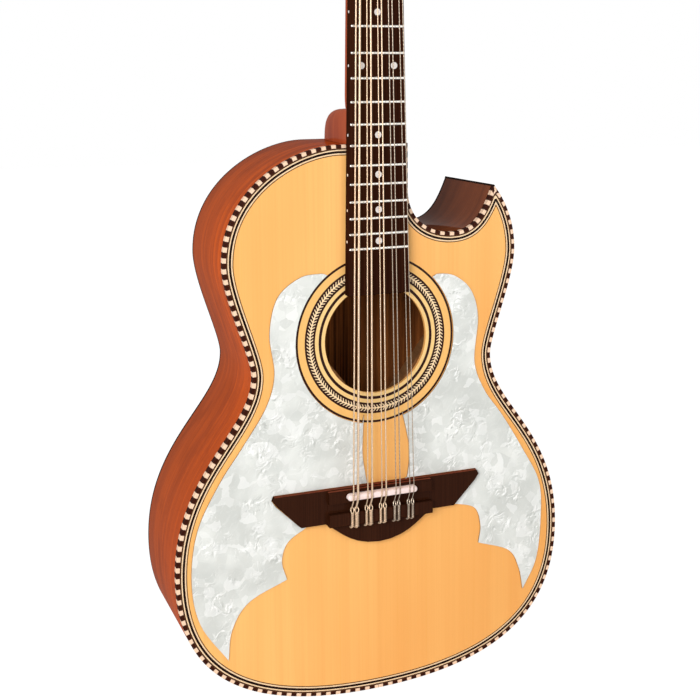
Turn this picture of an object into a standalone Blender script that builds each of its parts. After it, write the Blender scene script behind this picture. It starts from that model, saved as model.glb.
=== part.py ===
"""Bajo quinto: ten strings in five courses, a pointed cutaway and open worm-gear tuning machines.

Lengths are in metres. X runs to the treble side, Y from the soundboard to the back, and Z from the
tail to the head. The origin is the middle of the bounding box, on the plane of the end pin's face.
"""
from math import cos, pi, radians, sin, sqrt, tan

import bmesh
import bpy
from mathutils import Matrix, Vector

# Running clearance between neighbouring pieces
GAP = 0.0003

# Scale and strings
SCALE_LENGTH = 0.648
COURSES = 5
COURSE_PITCH_SADDLE = 0.0119
COURSE_PITCH_NUT = 0.0067
PAIR_PITCH_SADDLE = 0.0035
PAIR_PITCH_NUT = 0.0027
STRING_RADII = (0.00062, 0.00095, 0.00050, 0.00078, 0.00045, 0.00060, 0.00040, 0.00042, 0.00034, 0.00034)
STRING_SIDES_RESOLUTION = 1

# Body outline; the shares are heights over the tail, in parts of the body's length
BODY_LENGTH = 0.4363
SADDLE_SHARE = 0.3736
LOWER_BOUT_HALF = 0.162
LOWER_BOUT_SHARE = 0.2613
WAIST_HALF = 0.1005
WAIST_SHARE = 0.6005
UPPER_BOUT_HALF = 0.1228
UPPER_BOUT_SHARE = 0.7976
NECK_FLAT_HALF = 0.028
TAIL_HANDLE = 0.128
LOWER_BOUT_HANDLE_DOWN = 0.062
LOWER_BOUT_HANDLE_UP = 0.080
WAIST_HANDLE_DOWN = 0.042
WAIST_HANDLE_UP = 0.0155
UPPER_BOUT_HANDLE_DOWN = 0.025
UPPER_BOUT_HANDLE_UP = 0.058
SHOULDER_HANDLE = 0.038
BOUT_STEPS = (8, 9, 7)
SHOULDER_STEPS = 9

# Pointed cutaway on the treble side, drops below the body's top
HORN_DROP = 0.0363
HORN_LEAN = 0.0085
HORN_HANDLE = 0.021
CUTAWAY_X = 0.067
CUTAWAY_DROP = 0.0725
CUTAWAY_HANDLE = 0.021
CUTAWAY_NECK_DROP = 0.0373
CUTAWAY_NECK_HANDLE = 0.023

# Body depth and plates
DEPTH_NECK = 0.0915
DEPTH_TAIL = 0.1050
SOUNDBOARD_THICKNESS = 0.0028
BACK_THICKNESS = 0.0026
SIDE_THICKNESS = 0.0022
BINDING_WIDTH = 0.0042
BINDING_HEIGHT = 0.0055
BACK_BINDING_WIDTH = 0.0026
BACK_BINDING_HEIGHT = 0.0015
LINING_WIDTH = 0.0065
LINING_HEIGHT = 0.014

# Soundhole and rosette
SOUNDHOLE_RISE = 0.120
SOUNDHOLE_RADIUS = 0.0426
ROSETTE_INNER_RADIUS = 0.0472
ROSETTE_OUTER_RADIUS = 0.0663
ROSETTE_THICKNESS = 0.0012

# Braces and blocks inside the body
BRACE_WIDTH = 0.008
BRACE_HEIGHT = 0.013
X_CROSS_SHARE = 0.4836
X_HALF_ANGLE = radians(38)
X_END_CLEARANCE = 0.0113
X_ARM_DOWN = 0.215
UPPER_BRACE_SHARE = 0.39
TONE_BAR_SHARE = 0.2109
TONE_BAR_HALF = 0.074
BRIDGE_PLATE_TOP = 0.0145
BRIDGE_PLATE_BOTTOM = 0.021
BRIDGE_PLATE_THICKNESS = 0.003
BACK_BRACE_SHARES = (0.2292, 0.7564)
NECK_BLOCK_HALF = 0.040
NECK_BLOCK_LENGTH = 0.056
TAIL_BLOCK_HALF = 0.035
TAIL_BLOCK_LENGTH = 0.020

# End pin
PIN_REACH = 0.012
PIN_HEAD_RADIUS = 0.008
PIN_FACE_RADIUS = 0.0065
PIN_WAIST_RADIUS = 0.005
PIN_SHANK_RADIUS = 0.0042
PIN_SHANK_LENGTH = 0.016
PIN_HEAD_THICKNESS = 0.004

# Bridge, saddle and tie block, heights over the saddle line
BRIDGE_HALF = 0.0873
BRIDGE_TOP_EDGE = 0.0055
BRIDGE_FOOT_HALF = 0.065
BRIDGE_FOOT_DROP = 0.021
BRIDGE_BELLY_HALF = 0.0385
BRIDGE_BELLY_DROP = 0.041
BRIDGE_COVE_DROP = 0.0255
BRIDGE_COVE_RUN = 0.0045
BRIDGE_COVE_RISE = 0.0030
BRIDGE_FOOT_RUN = 0.0015
BRIDGE_TIP_RADIUS = 0.0035
BRIDGE_CHAMFER = 0.0008
BRIDGE_WING_THICKNESS = 0.0048
BRIDGE_BLOCK_HALF = 0.0435
BRIDGE_RAMP_HEIGHT = 0.0092
TIE_FRONT_DROP = 0.0125
TIE_LENGTH = 0.0100
TIE_HEIGHT = 0.0108
TIE_HOLE_HEIGHT = 0.0079
TROUGH_HEIGHT = 0.0056
TROUGH_LENGTH = 0.0072
SADDLE_HALF = 0.0293
SADDLE_THICKNESS = 0.0050
SADDLE_HEIGHT = 0.0138
SADDLE_SLOT_FLOOR = 0.0030
SADDLE_ROUNDING = 0.0012
TIE_HOLE_CLEARANCE = 0.0005
TIE_OVER_GAP = 0.0006

# Pickguards, each a plate outside the rosette and round the bridge
PICKGUARD_THICKNESS = 0.0011
PICKGUARD_CLEARANCE = 0.0005

# Fingerboard, frets and nut
FRET_COUNT = 21
BOARD_END_RISE = 0.1564
BOARD_THICKNESS = 0.0070
BOARD_HALF_NUT = 0.0176
BOARD_HALF_END = 0.0258
FRET_WIDTH = 0.0022
FRET_HEIGHT = 0.0011
NUT_THICKNESS = 0.0050
NUT_CREST = 0.0016
NUT_ACTION = 0.0004
NUT_DIP = 0.0002

# Neck and heel
NECK_DEPTH_NUT = 0.0145
NECK_DEPTH_BODY = 0.0170
HEEL_LENGTH = 0.0265
HEEL_CAP_HALF = 0.0160
HEEL_FLARE = 0.0120
HEEL_BACK_MARGIN = 0.0030
HEEL_POWER = 3.2
VOLUTE_LENGTH = 0.004
TENON_HALF = 0.009
TENON_FRONT = 0.010
TENON_BACK = 0.062
TENON_LENGTH = 0.014
TRUSS_HALF = 0.0030
TRUSS_DEPTH = 0.0090
TRUSS_END_MARGIN = 0.012

# Headstock
HEAD_TILT = radians(13)
HEAD_THICKNESS = 0.0140
HEAD_LENGTH = 0.182
HEAD_SHOULDER_HALF = 0.0380
HEAD_TIP_HALF = 0.0340
HEAD_SHOULDER_RISE = 0.026
HEAD_CROWN = 0.012
VENEER_THICKNESS = 0.0020

# Tuning machines, one worm and one gear for each string; a key's shaft is as thick as its worm's core
MACHINES_A_SIDE = 5
POST_FIRST = 0.038
POST_PITCH = 0.0270
POST_X = 0.0210
POST_RADIUS = 0.0031
POST_FRONT_REACH = 0.0175
POST_CHAMFER = 0.0008
POST_GROOVE_HALF = 0.0042
PLATE_HALF_WIDTH = 0.0088
PLATE_THICKNESS = 0.0012
PLATE_END_MARGIN = 0.0125
GEAR_TEETH = 14
GEAR_PITCH_RADIUS = 0.0056
GEAR_ADDENDUM = 0.0007
GEAR_DEDENDUM = 0.0010
GEAR_THICKNESS = 0.0042
GEAR_TIP_SHARE = 0.24
GEAR_ROOT_SHARE = 0.46
WORM_PITCH_RADIUS = 0.00265
WORM_OUTER_RADIUS = 0.00325
WORM_CORE_RADIUS = 0.00155
WORM_TURNS = 2.0
WORM_CREST_SHARE = 0.20
WORM_FOOT_SHARE = 0.42
WORM_STEPS_A_TURN = 9
WORM_END_FADE = 0.45
EAR_DISTANCE = 0.0054
EAR_THICKNESS = 0.0012
EAR_HALF_WIDTH = 0.0030
SHAFT_END_REACH = 0.0010
COLLAR_RADIUS = 0.0028
COLLAR_LENGTH = 0.0029
BUTTON_START = 0.0445
BUTTON_LENGTH = 0.0170
BUTTON_HALF_WIDTH = 0.0086
BUTTON_HALF_THICKNESS = 0.0040
WINDING_TURNS = 2
WINDING_GAP = 0.0006
WINDING_POINTS = 9
TIE_BEND = 0.0005

# Worked out from the sizes above
BEYOND = DEPTH_TAIL
TAIL_Z = PIN_REACH
SADDLE_Z = TAIL_Z + BODY_LENGTH * SADDLE_SHARE
NUT_Z = SADDLE_Z + SCALE_LENGTH
HEAD_Z = NUT_Z + NUT_THICKNESS + GAP
NECK_Z = TAIL_Z + BODY_LENGTH
SOUNDHOLE_Z = SADDLE_Z + SOUNDHOLE_RISE
BOARD_END_Z = SADDLE_Z + BOARD_END_RISE
BLOCK_Z = NECK_Z - NECK_BLOCK_LENGTH
HOLE_TOP_Z = SOUNDHOLE_Z + SOUNDHOLE_RADIUS
UPPER_BRACE_Z = HOLE_TOP_Z + (BLOCK_Z - HOLE_TOP_Z) * UPPER_BRACE_SHARE
X_CROSS_Z = TAIL_Z + BODY_LENGTH * X_CROSS_SHARE
X_TOP_Z = UPPER_BRACE_Z - BRACE_WIDTH / 2 - X_END_CLEARANCE
X_ARM_UP = (X_TOP_Z - X_CROSS_Z - BRACE_WIDTH / 2 * sin(X_HALF_ANGLE)) / cos(X_HALF_ANGLE)
STRING_SADDLE_RISE = SADDLE_HEIGHT + GAP
FRONT_REACH = STRING_SADDLE_RISE + 2 * max(STRING_RADII)
FACE_Y = (FRONT_REACH - DEPTH_TAIL) / 2
GEAR_MID_Y = HEAD_THICKNESS + GAP + PLATE_THICKNESS + WORM_OUTER_RADIUS + GAP
AXIS_DISTANCE = GEAR_PITCH_RADIUS + WORM_PITCH_RADIUS
WORM_LEAD = 2 * pi * GEAR_PITCH_RADIUS / GEAR_TEETH
BORE_RADIUS = (POST_RADIUS + GAP) / cos(pi / 8)


def clear_scene():
    """Remove every object of the starting scene."""
    for item in list(bpy.data.objects):
        bpy.data.objects.remove(item, do_unlink=True)


def finish(name, colour, roughness, metallic=0.0):
    """Make a plain Principled material."""
    made = bpy.data.materials.new(name)
    made.use_nodes = True
    shader = made.node_tree.nodes["Principled BSDF"]
    shader.inputs["Base Color"].default_value = (*colour, 1.0)
    shader.inputs["Roughness"].default_value = roughness
    shader.inputs["Metallic"].default_value = metallic
    return made


def link(name, data, look, parent):
    """Put an object in the scene under its parent."""
    made = bpy.data.objects.new(name, data)
    bpy.context.scene.collection.objects.link(made)
    if look is not None:
        data.materials.append(look)
    made.parent = parent
    return made


def mesh_object(name, bm, look, parent=None, smooth=False):
    """Close a bmesh into an object whose faces point out."""
    bmesh.ops.recalc_face_normals(bm, faces=bm.faces)
    mesh = bpy.data.meshes.new(name)
    bm.to_mesh(mesh)
    bm.free()
    if smooth:
        mesh.shade_smooth()
        mesh.set_sharp_from_angle(angle=radians(35))
    return link(name, mesh, look, parent)


def loft(name, rings, look=None, parent=None, smooth=False):
    """Skin a closed solid over rings of as many points each."""
    bm = bmesh.new()
    layers = [[bm.verts.new(point) for point in ring] for ring in rings]
    for low, high in zip(layers, layers[1:]):
        for i in range(len(low)):
            j = (i + 1) % len(low)
            bm.faces.new((low[i], low[j], high[j], high[i]))
    bm.faces.new(layers[0][::-1])
    bm.faces.new(layers[-1])
    return mesh_object(name, bm, look, parent, smooth)


def prism(name, outline, front, back, look=None, parent=None):
    """Extrude an outline of (x, z) points from one depth to another; a depth may follow the height."""
    def ring(depth):
        return [(p[0], depth(p[1]) if callable(depth) else depth, p[1]) for p in outline]
    return loft(name, [ring(front), ring(back)], look, parent)


def cross_prism(name, outline, left, right, look=None, parent=None):
    """Extrude an outline of (y, z) points from the left to the right."""
    rings = [[(x, p[0], p[1]) for p in outline] for x in (left, right)]
    return loft(name, rings, look, parent)


def circle(centre_a, centre_b, radius, count, turn=0.0):
    """List the points of a circle in a plane."""
    angles = [turn + 2 * pi * i / count for i in range(count)]
    return [(centre_a + radius * cos(a), centre_b + radius * sin(a)) for a in angles]


def box(name, low, high, look=None, parent=None):
    """Make a box from its two corners."""
    outline = [(low[0], low[2]), (high[0], low[2]), (high[0], high[2]), (low[0], high[2])]
    return prism(name, outline, low[1], high[1], look, parent)


def combine(target, tool, operation):
    """Cut, join or clip a solid with a tool that isn't itself a piece."""
    tool.hide_render = True
    tool.display_type = "WIRE"
    step = target.modifiers.new(tool.name, "BOOLEAN")
    step.operation = operation
    step.solver = "EXACT"
    step.object = tool
    return target


def cut(target, tool):
    """Take the tool away from a solid."""
    return combine(target, tool, "DIFFERENCE")


def join(target, tool):
    """Fuse the tool with a solid."""
    return combine(target, tool, "UNION")


def clip(target, tool):
    """Keep what lies inside the tool."""
    return combine(target, tool, "INTERSECT")


def deep(rise):
    """Give the world Y of a place that lies this far behind the soundboard's face."""
    return FACE_Y + rise


def back_face(z):
    """Give the world Y of the back's outer face at a height."""
    share = (z - TAIL_Z) / BODY_LENGTH
    return deep(DEPTH_TAIL + (DEPTH_NECK - DEPTH_TAIL) * share)


def curve_place(a, b, c, d, t):
    """Give the point of a cubic curve at a share of its run."""
    a, b, c, d = Vector(a), Vector(b), Vector(c), Vector(d)
    return (1 - t) ** 3 * a + 3 * (1 - t) ** 2 * t * b + 3 * (1 - t) * t * t * c + t ** 3 * d


def curve_points(a, b, c, d, steps, end=1.0):
    """Sample a cubic curve from its start up to, but without, its end."""
    return [curve_place(a, b, c, d, end * i / steps) for i in range(steps)]


def bout_curves():
    """List the curves of the treble half, from the tail to the neck flat."""
    tail = (0, TAIL_Z)
    lower = (LOWER_BOUT_HALF, TAIL_Z + BODY_LENGTH * LOWER_BOUT_SHARE)
    waist = (WAIST_HALF, TAIL_Z + BODY_LENGTH * WAIST_SHARE)
    upper = (UPPER_BOUT_HALF, TAIL_Z + BODY_LENGTH * UPPER_BOUT_SHARE)
    flat = (NECK_FLAT_HALF, NECK_Z)
    places = (tail, lower, waist, upper, flat)
    handles = (
        ((TAIL_HANDLE, tail[1]), (lower[0], lower[1] - LOWER_BOUT_HANDLE_DOWN)),
        ((lower[0], lower[1] + LOWER_BOUT_HANDLE_UP), (waist[0], waist[1] - WAIST_HANDLE_DOWN)),
        ((waist[0], waist[1] + WAIST_HANDLE_UP), (upper[0], upper[1] - UPPER_BOUT_HANDLE_DOWN)),
        ((upper[0], upper[1] + UPPER_BOUT_HANDLE_UP), (flat[0] + SHOULDER_HANDLE, flat[1])),
    )
    return [(places[i], *handles[i], places[i + 1]) for i in range(4)]


def treble_path():
    """Run from the middle of the tail to the horn's tip."""
    curves = bout_curves()
    points = []
    for curve, steps in zip(curves[:3], BOUT_STEPS):
        points += curve_points(*curve, steps)
    low, high = 0.0, 1.0
    for _ in range(40):
        middle = (low + high) / 2
        if curve_place(*curves[3], middle).y < NECK_Z - HORN_DROP:
            low = middle
        else:
            high = middle
    points += curve_points(*curves[3], 6, low)
    points.append(curve_place(*curves[3], low))
    return points


def cutaway_path(tip):
    """Run from the horn's tip through the bay and up beside the neck."""
    bay = (CUTAWAY_X, NECK_Z - CUTAWAY_DROP)
    neck = (NECK_FLAT_HALF, NECK_Z - CUTAWAY_NECK_DROP)
    horn_handle = (tip.x - HORN_LEAN, tip.y - HORN_HANDLE)
    neck_handle = (neck[0], neck[1] - CUTAWAY_NECK_HANDLE)
    points = curve_points(tip, horn_handle, (bay[0] + CUTAWAY_HANDLE, bay[1]), bay, 7)
    points += curve_points(bay, (bay[0] - CUTAWAY_HANDLE, bay[1]), neck_handle, neck, 6)
    points.append(Vector(neck))
    points.append(Vector((NECK_FLAT_HALF, NECK_Z)))
    points.append(Vector((TENON_HALF + GAP, NECK_Z)))
    return points


def bass_path():
    """Run from the tenon's bass side round the bass bouts to the tail."""
    half = []
    for curve, steps in zip(bout_curves(), (*BOUT_STEPS, SHOULDER_STEPS)):
        half += curve_points(*curve, steps)
    half.append(Vector((NECK_FLAT_HALF, NECK_Z)))
    half.append(Vector((TENON_HALF + GAP, NECK_Z)))
    return [Vector((-p.x, p.y)) for p in reversed(half)]


def body_outline():
    """List the whole outline, the treble side first; it closes at the tail."""
    treble = treble_path()
    return treble[:-1] + cutaway_path(treble[-1]) + bass_path()[:-1]


def distance_to(point, outline):
    """Give the shortest way from a point to a closed outline."""
    best = 1.0
    for a, b in zip(outline, outline[1:] + outline[:1]):
        run = b - a
        share = min(max((point - a).dot(run) / run.length_squared, 0.0), 1.0)
        best = min(best, (point - a - run * share).length)
    return best


def shifted(outline, distance):
    """Move each point of a closed outline inward, square to the outline."""
    moved = []
    count = len(outline)
    for i in range(count):
        before = (outline[i] - outline[i - 1]).normalized()
        after = (outline[(i + 1) % count] - outline[i]).normalized()
        normal = Vector((-before.y, before.x))
        middle = (normal + Vector((-after.y, after.x))).normalized()
        moved.append(outline[i] + middle * distance / max(middle.dot(normal), 0.3))
    return moved


def inset(outline, distance):
    """Draw a closed outline inward and drop the points that fold over at a corner."""
    kept = []
    for point in shifted(outline, distance):
        if distance_to(point, outline) > 0.98 * abs(distance):
            kept.append(point)
    return kept


def flowing(runs, side, steps=3):
    """Join smooth runs at corners; places are thousandths of the body's length from the saddle."""
    outline = []
    unit = BODY_LENGTH / 1000
    for run in runs:
        places = [Vector((side * x * unit, SADDLE_Z + z * unit)) for x, z in run]
        ends = [2 * places[0] - places[1]] + places + [2 * places[-1] - places[-2]]
        for i in range(1, len(places)):
            a, b = ends[i], ends[i + 1]
            out_handle = (b - ends[i - 1]) / 6
            in_handle = (ends[i + 2] - a) / 6
            outline += curve_points(a, a + out_handle, b - in_handle, b, steps if len(run) > 2 else 1)
    return outline


def bore(name, x, z, radius, parent):
    """Make a cutter along the parent's Y."""
    return prism(name, circle(x, z, radius, 8), -BEYOND, BEYOND, None, parent)


def make_soundboard(outline, look):
    """Make the top plate with its soundhole and the rosette's channel."""
    edge = inset(outline, BINDING_WIDTH + GAP)
    board = prism("soundboard", edge, deep(0), deep(SOUNDBOARD_THICKNESS), look)
    hole = circle(0, SOUNDHOLE_Z, SOUNDHOLE_RADIUS, 32)
    cut(board, prism("soundhole_cut", hole, deep(-BEYOND), deep(BEYOND)))
    outer = circle(0, SOUNDHOLE_Z, ROSETTE_OUTER_RADIUS + GAP, 36)
    channel = prism("channel_cut", outer, deep(-BEYOND), deep(ROSETTE_THICKNESS + GAP))
    inner = circle(0, SOUNDHOLE_Z, ROSETTE_INNER_RADIUS - GAP, 30)
    cut(channel, prism("channel_core", inner, deep(-2 * BEYOND), deep(BEYOND)))
    return cut(board, channel)


def make_rosette(look):
    """Make the inlaid ring round the soundhole."""
    outer = circle(0, SOUNDHOLE_Z, ROSETTE_OUTER_RADIUS, 36)
    ring = prism("rosette", outer, deep(0), deep(ROSETTE_THICKNESS), look)
    inner = circle(0, SOUNDHOLE_Z, ROSETTE_INNER_RADIUS, 30)
    return cut(ring, prism("rosette_core", inner, deep(-BEYOND), deep(BEYOND)))


def make_back(outline, look):
    """Make the flat back, which comes closer to the top toward the neck."""
    edge = inset(outline, BACK_BINDING_WIDTH + GAP)
    return prism("back", edge, lambda z: back_face(z) - BACK_THICKNESS, back_face, look)


def back_step(z):
    """Give the world Y where the back's edge strip starts, less a clearance."""
    return back_face(z) - BACK_BINDING_HEIGHT - GAP


def make_side(name, path, inner, look):
    """Bend one rib of the body between the two bindings."""
    return prism(name, path + inner[::-1], deep(BINDING_HEIGHT + GAP), back_step, look)


def make_sides(outline, look):
    """Make the treble, cutaway and bass ribs, parted at the tail, the horn and the tenon."""
    treble = treble_path()
    tip = len(treble) - 1
    bay = cutaway_path(treble[-1])
    inner = shifted(outline, SIDE_THICKNESS)
    start = Vector((GAP / 2, 0))
    outer_run = [treble[0] + start] + treble[1:]
    inner_run = [Vector((GAP / 2, inner[0].y))] + inner[1:tip + 1]
    make_side("side_treble", outer_run, inner_run, look)
    aside = (bay[1] - bay[0]).normalized() * 3 * GAP
    inner_bay = inner[tip:tip + len(bay)]
    make_side("side_cutaway", [bay[0] + aside] + bay[1:], [inner_bay[0] + aside] + inner_bay[1:], look)
    bass = bass_path()
    inner_bass = inner[tip + len(bay):] + [Vector((-GAP / 2, inner[0].y))]
    make_side("side_bass", bass[:-1] + [bass[-1] - start], inner_bass, look)


def make_bindings(outline, look_top, look_back):
    """Make the edge strips of the top and the back."""
    top = prism("top_binding", outline, deep(0), deep(BINDING_HEIGHT), look_top)
    cut(top, prism("top_binding_core", inset(outline, BINDING_WIDTH), deep(-BEYOND), deep(BEYOND)))
    back = prism("back_binding", outline, lambda z: back_face(z) - BACK_BINDING_HEIGHT, back_face, look_back)
    core = inset(outline, BACK_BINDING_WIDTH)
    cut(back, prism("back_binding_core", core, deep(0), deep(2 * BEYOND)))


def back_shelf(z):
    """Give the world Y of the back's inner face, less a clearance."""
    return back_face(z) - BACK_THICKNESS - GAP


def back_foot(z):
    """Give the world Y where the back lining ends inside the body."""
    return back_face(z) - BACK_THICKNESS - LINING_HEIGHT


def make_linings(outline, look):
    """Make the strips that carry the top and the back inside the ribs; they stop at the neck block."""
    deepest = SIDE_THICKNESS + GAP + LINING_WIDTH
    shelf = deep(SOUNDBOARD_THICKNESS + GAP)
    foot = deep(LINING_HEIGHT + SOUNDBOARD_THICKNESS)
    top = prism("top_lining", inset(outline, BINDING_WIDTH + GAP), shelf, foot, look)
    step = prism("top_lining_step", inset(outline, SIDE_THICKNESS + GAP), deep(BINDING_HEIGHT + GAP), foot)
    join(top, step)
    cut(top, prism("top_lining_core", inset(outline, deepest), deep(-BEYOND), deep(BEYOND)))

    back = prism("back_lining", inset(outline, BACK_BINDING_WIDTH + GAP), back_foot, back_shelf, look)
    cut(back, prism("back_lining_core", inset(outline, deepest), deep(0), deep(2 * BEYOND)))
    space = box("neck_block_space", (-NECK_BLOCK_HALF - GAP, deep(-BEYOND), BLOCK_Z - GAP),
                (NECK_BLOCK_HALF + GAP, deep(2 * BEYOND), NECK_Z + BEYOND))
    cut(top, space)
    cut(back, space)


def make_blocks(outline, look):
    """Make the neck block with the tenon's mortise and, between the linings, the tail block."""
    inside = inset(outline, SIDE_THICKNESS + GAP)
    room = prism("body_room", inside, deep(BINDING_HEIGHT + GAP), lambda z: min(back_step(z), back_shelf(z)))
    core = inset(outline, BINDING_WIDTH + GAP)
    join(room, prism("body_room_core", core, deep(SOUNDBOARD_THICKNESS + GAP), back_shelf))
    between = prism("tail_block_room", inside, deep(LINING_HEIGHT + SOUNDBOARD_THICKNESS + GAP),
                    lambda z: back_foot(z) - GAP)
    neck = box("neck_block", (-NECK_BLOCK_HALF, deep(-BEYOND), BLOCK_Z),
               (NECK_BLOCK_HALF, deep(2 * BEYOND), NECK_Z + BEYOND), look)
    tail = box("tail_block", (-TAIL_BLOCK_HALF, deep(-BEYOND), TAIL_Z - BEYOND),
               (TAIL_BLOCK_HALF, deep(2 * BEYOND), TAIL_Z + TAIL_BLOCK_LENGTH), look)
    clip(neck, room)
    clip(tail, between)
    cut(neck, box("mortise", (-TENON_HALF - GAP, deep(TENON_FRONT - GAP), NECK_Z - TENON_LENGTH - GAP),
                  (TENON_HALF + GAP, deep(TENON_BACK + GAP), NECK_Z + BEYOND)))
    shank = pin_bore("tail_block_bore")
    cut(tail, shank)
    for name in ("side_bass", "side_treble"):
        cut(bpy.data.objects[name], shank)


def pin_bore(name):
    """Make the cutter of the end pin's bore."""
    middle = (FACE_Y + back_face(TAIL_Z)) / 2
    radius = PIN_SHANK_RADIUS + GAP
    rings = [[(x, middle + y, z) for x, y in circle(0, 0, radius, 12)]
             for z in (TAIL_Z - BEYOND, TAIL_Z + PIN_SHANK_LENGTH + GAP)]
    return loft(name, rings)


def make_end_pin(look):
    """Turn the pin at the tail."""
    middle = (FACE_Y + back_face(TAIL_Z)) / 2
    seat = TAIL_Z - GAP
    profile = [
        (0.0, PIN_FACE_RADIUS),
        (PIN_HEAD_THICKNESS * 0.3, PIN_HEAD_RADIUS),
        (PIN_HEAD_THICKNESS, PIN_HEAD_RADIUS),
        (PIN_HEAD_THICKNESS * 1.5, PIN_WAIST_RADIUS),
        (seat * 0.82, PIN_WAIST_RADIUS),
        (seat, PIN_HEAD_RADIUS),
        (seat + GAP / 10, PIN_SHANK_RADIUS),
        (TAIL_Z + PIN_SHANK_LENGTH, PIN_SHANK_RADIUS * 0.94),
    ]
    rings = [[(x, middle + y, z) for x, y in circle(0, 0, radius, 12)] for z, radius in profile]
    loft("end_pin", rings, look, smooth=True)


def make_braces(outline, look):
    """Make the braces under the top and on the back, clipped clear of the linings."""
    margin = SIDE_THICKNESS + LINING_WIDTH + 3 * GAP
    room = prism("brace_room", inset(outline, margin), deep(-BEYOND), deep(2 * BEYOND))
    front = deep(SOUNDBOARD_THICKNESS + GAP)
    foot = front + BRACE_HEIGHT

    def bar(name, angle, up, down, where=None):
        along = Vector((sin(angle), cos(angle)))
        across = Vector((cos(angle), -sin(angle))) * BRACE_WIDTH / 2
        middle = Vector((0, X_CROSS_Z))
        ends = [middle - along * down - across, middle - along * down + across,
                middle + along * up + across, middle + along * up - across]
        return prism(name, ends, front, foot, where)

    crossing = bar("x_brace", X_HALF_ANGLE, X_ARM_UP, X_ARM_DOWN, look)
    join(crossing, bar("x_brace_leg", -X_HALF_ANGLE, X_ARM_UP, X_ARM_DOWN))
    clip(crossing, room)
    half = BRACE_WIDTH / 2
    wide = LOWER_BOUT_HALF + BEYOND
    passes = UPPER_BRACE_Z - half < NECK_Z - CUTAWAY_DROP - margin
    treble_end = wide if passes else CUTAWAY_X - CUTAWAY_HANDLE
    upper = box("upper_brace", (-wide, front, UPPER_BRACE_Z - half),
                (treble_end, foot, UPPER_BRACE_Z + half), look)
    clip(upper, room)
    bar_z = TAIL_Z + BODY_LENGTH * TONE_BAR_SHARE
    box("tone_bar", (-TONE_BAR_HALF, front, bar_z - half),
        (TONE_BAR_HALF, foot - BRACE_HEIGHT / 4, bar_z + half), look)

    def leg_edge(z):
        return (X_CROSS_Z - z) * tan(X_HALF_ANGLE) - (half + 2 * GAP) / cos(X_HALF_ANGLE)

    high = SADDLE_Z + BRIDGE_PLATE_TOP
    low = SADDLE_Z - BRIDGE_PLATE_BOTTOM
    plate = [(-leg_edge(low), low), (leg_edge(low), low), (leg_edge(high), high), (-leg_edge(high), high)]
    prism("bridge_plate", plate, front, front + BRIDGE_PLATE_THICKNESS, look)
    for name, share in zip(("back_brace_lower", "back_brace_upper"), BACK_BRACE_SHARES):
        low = TAIL_Z + BODY_LENGTH * share - half
        high = low + BRACE_WIDTH
        profile = [(back_shelf(low), low), (back_shelf(high), high),
                   (back_shelf(high) - BRACE_HEIGHT, high), (back_shelf(low) - BRACE_HEIGHT, low)]
        clip(cross_prism(name, profile, -wide, wide, look), room)


def bridge_outline():
    """Draw the wings, the coves and the rounded belly."""
    half = [
        Vector((BRIDGE_BELLY_HALF, -BRIDGE_COVE_DROP)),
        Vector((BRIDGE_BELLY_HALF + BRIDGE_COVE_RUN, -BRIDGE_COVE_DROP + BRIDGE_COVE_RISE)),
        Vector((BRIDGE_BLOCK_HALF + BRIDGE_FOOT_RUN, -BRIDGE_FOOT_DROP)),
        Vector((BRIDGE_FOOT_HALF, -BRIDGE_FOOT_DROP)),
        Vector((BRIDGE_HALF - BRIDGE_TIP_RADIUS, -BRIDGE_TIP_RADIUS * 0.7)),
        Vector((BRIDGE_HALF, BRIDGE_TIP_RADIUS * 0.7)),
        Vector((BRIDGE_HALF - BRIDGE_FOOT_RUN, BRIDGE_TOP_EDGE)),
    ]
    belly = curve_points((0, -BRIDGE_BELLY_DROP), (BRIDGE_BELLY_HALF * 0.55, -BRIDGE_BELLY_DROP),
                         (BRIDGE_BELLY_HALF * 0.85, -BRIDGE_COVE_DROP * 1.16), half[0], 6)
    right = belly + half
    left = [Vector((-p.x, p.y)) for p in reversed(right[1:])]
    return [Vector((p.x, SADDLE_Z + p.y)) for p in right + left]


def stadium(half_length, half_width, z, steps=4):
    """Draw a slot with round ends along X."""
    straight = half_length - half_width
    right = [(straight + half_width * cos(a), z + half_width * sin(a))
             for a in [-pi / 2 + pi * i / steps for i in range(steps + 1)]]
    left = [(-x, 2 * z - y) for x, y in right]
    return right + left


def string_places():
    """List each string's X at the saddle and at the nut, from the bass side."""
    places = []
    for course in range(COURSES):
        offset = course - (COURSES - 1) / 2
        for side in (-0.5, 0.5):
            saddle = offset * COURSE_PITCH_SADDLE + side * PAIR_PITCH_SADDLE
            nut = offset * COURSE_PITCH_NUT + side * PAIR_PITCH_NUT
            places.append((saddle, nut))
    return places


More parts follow.
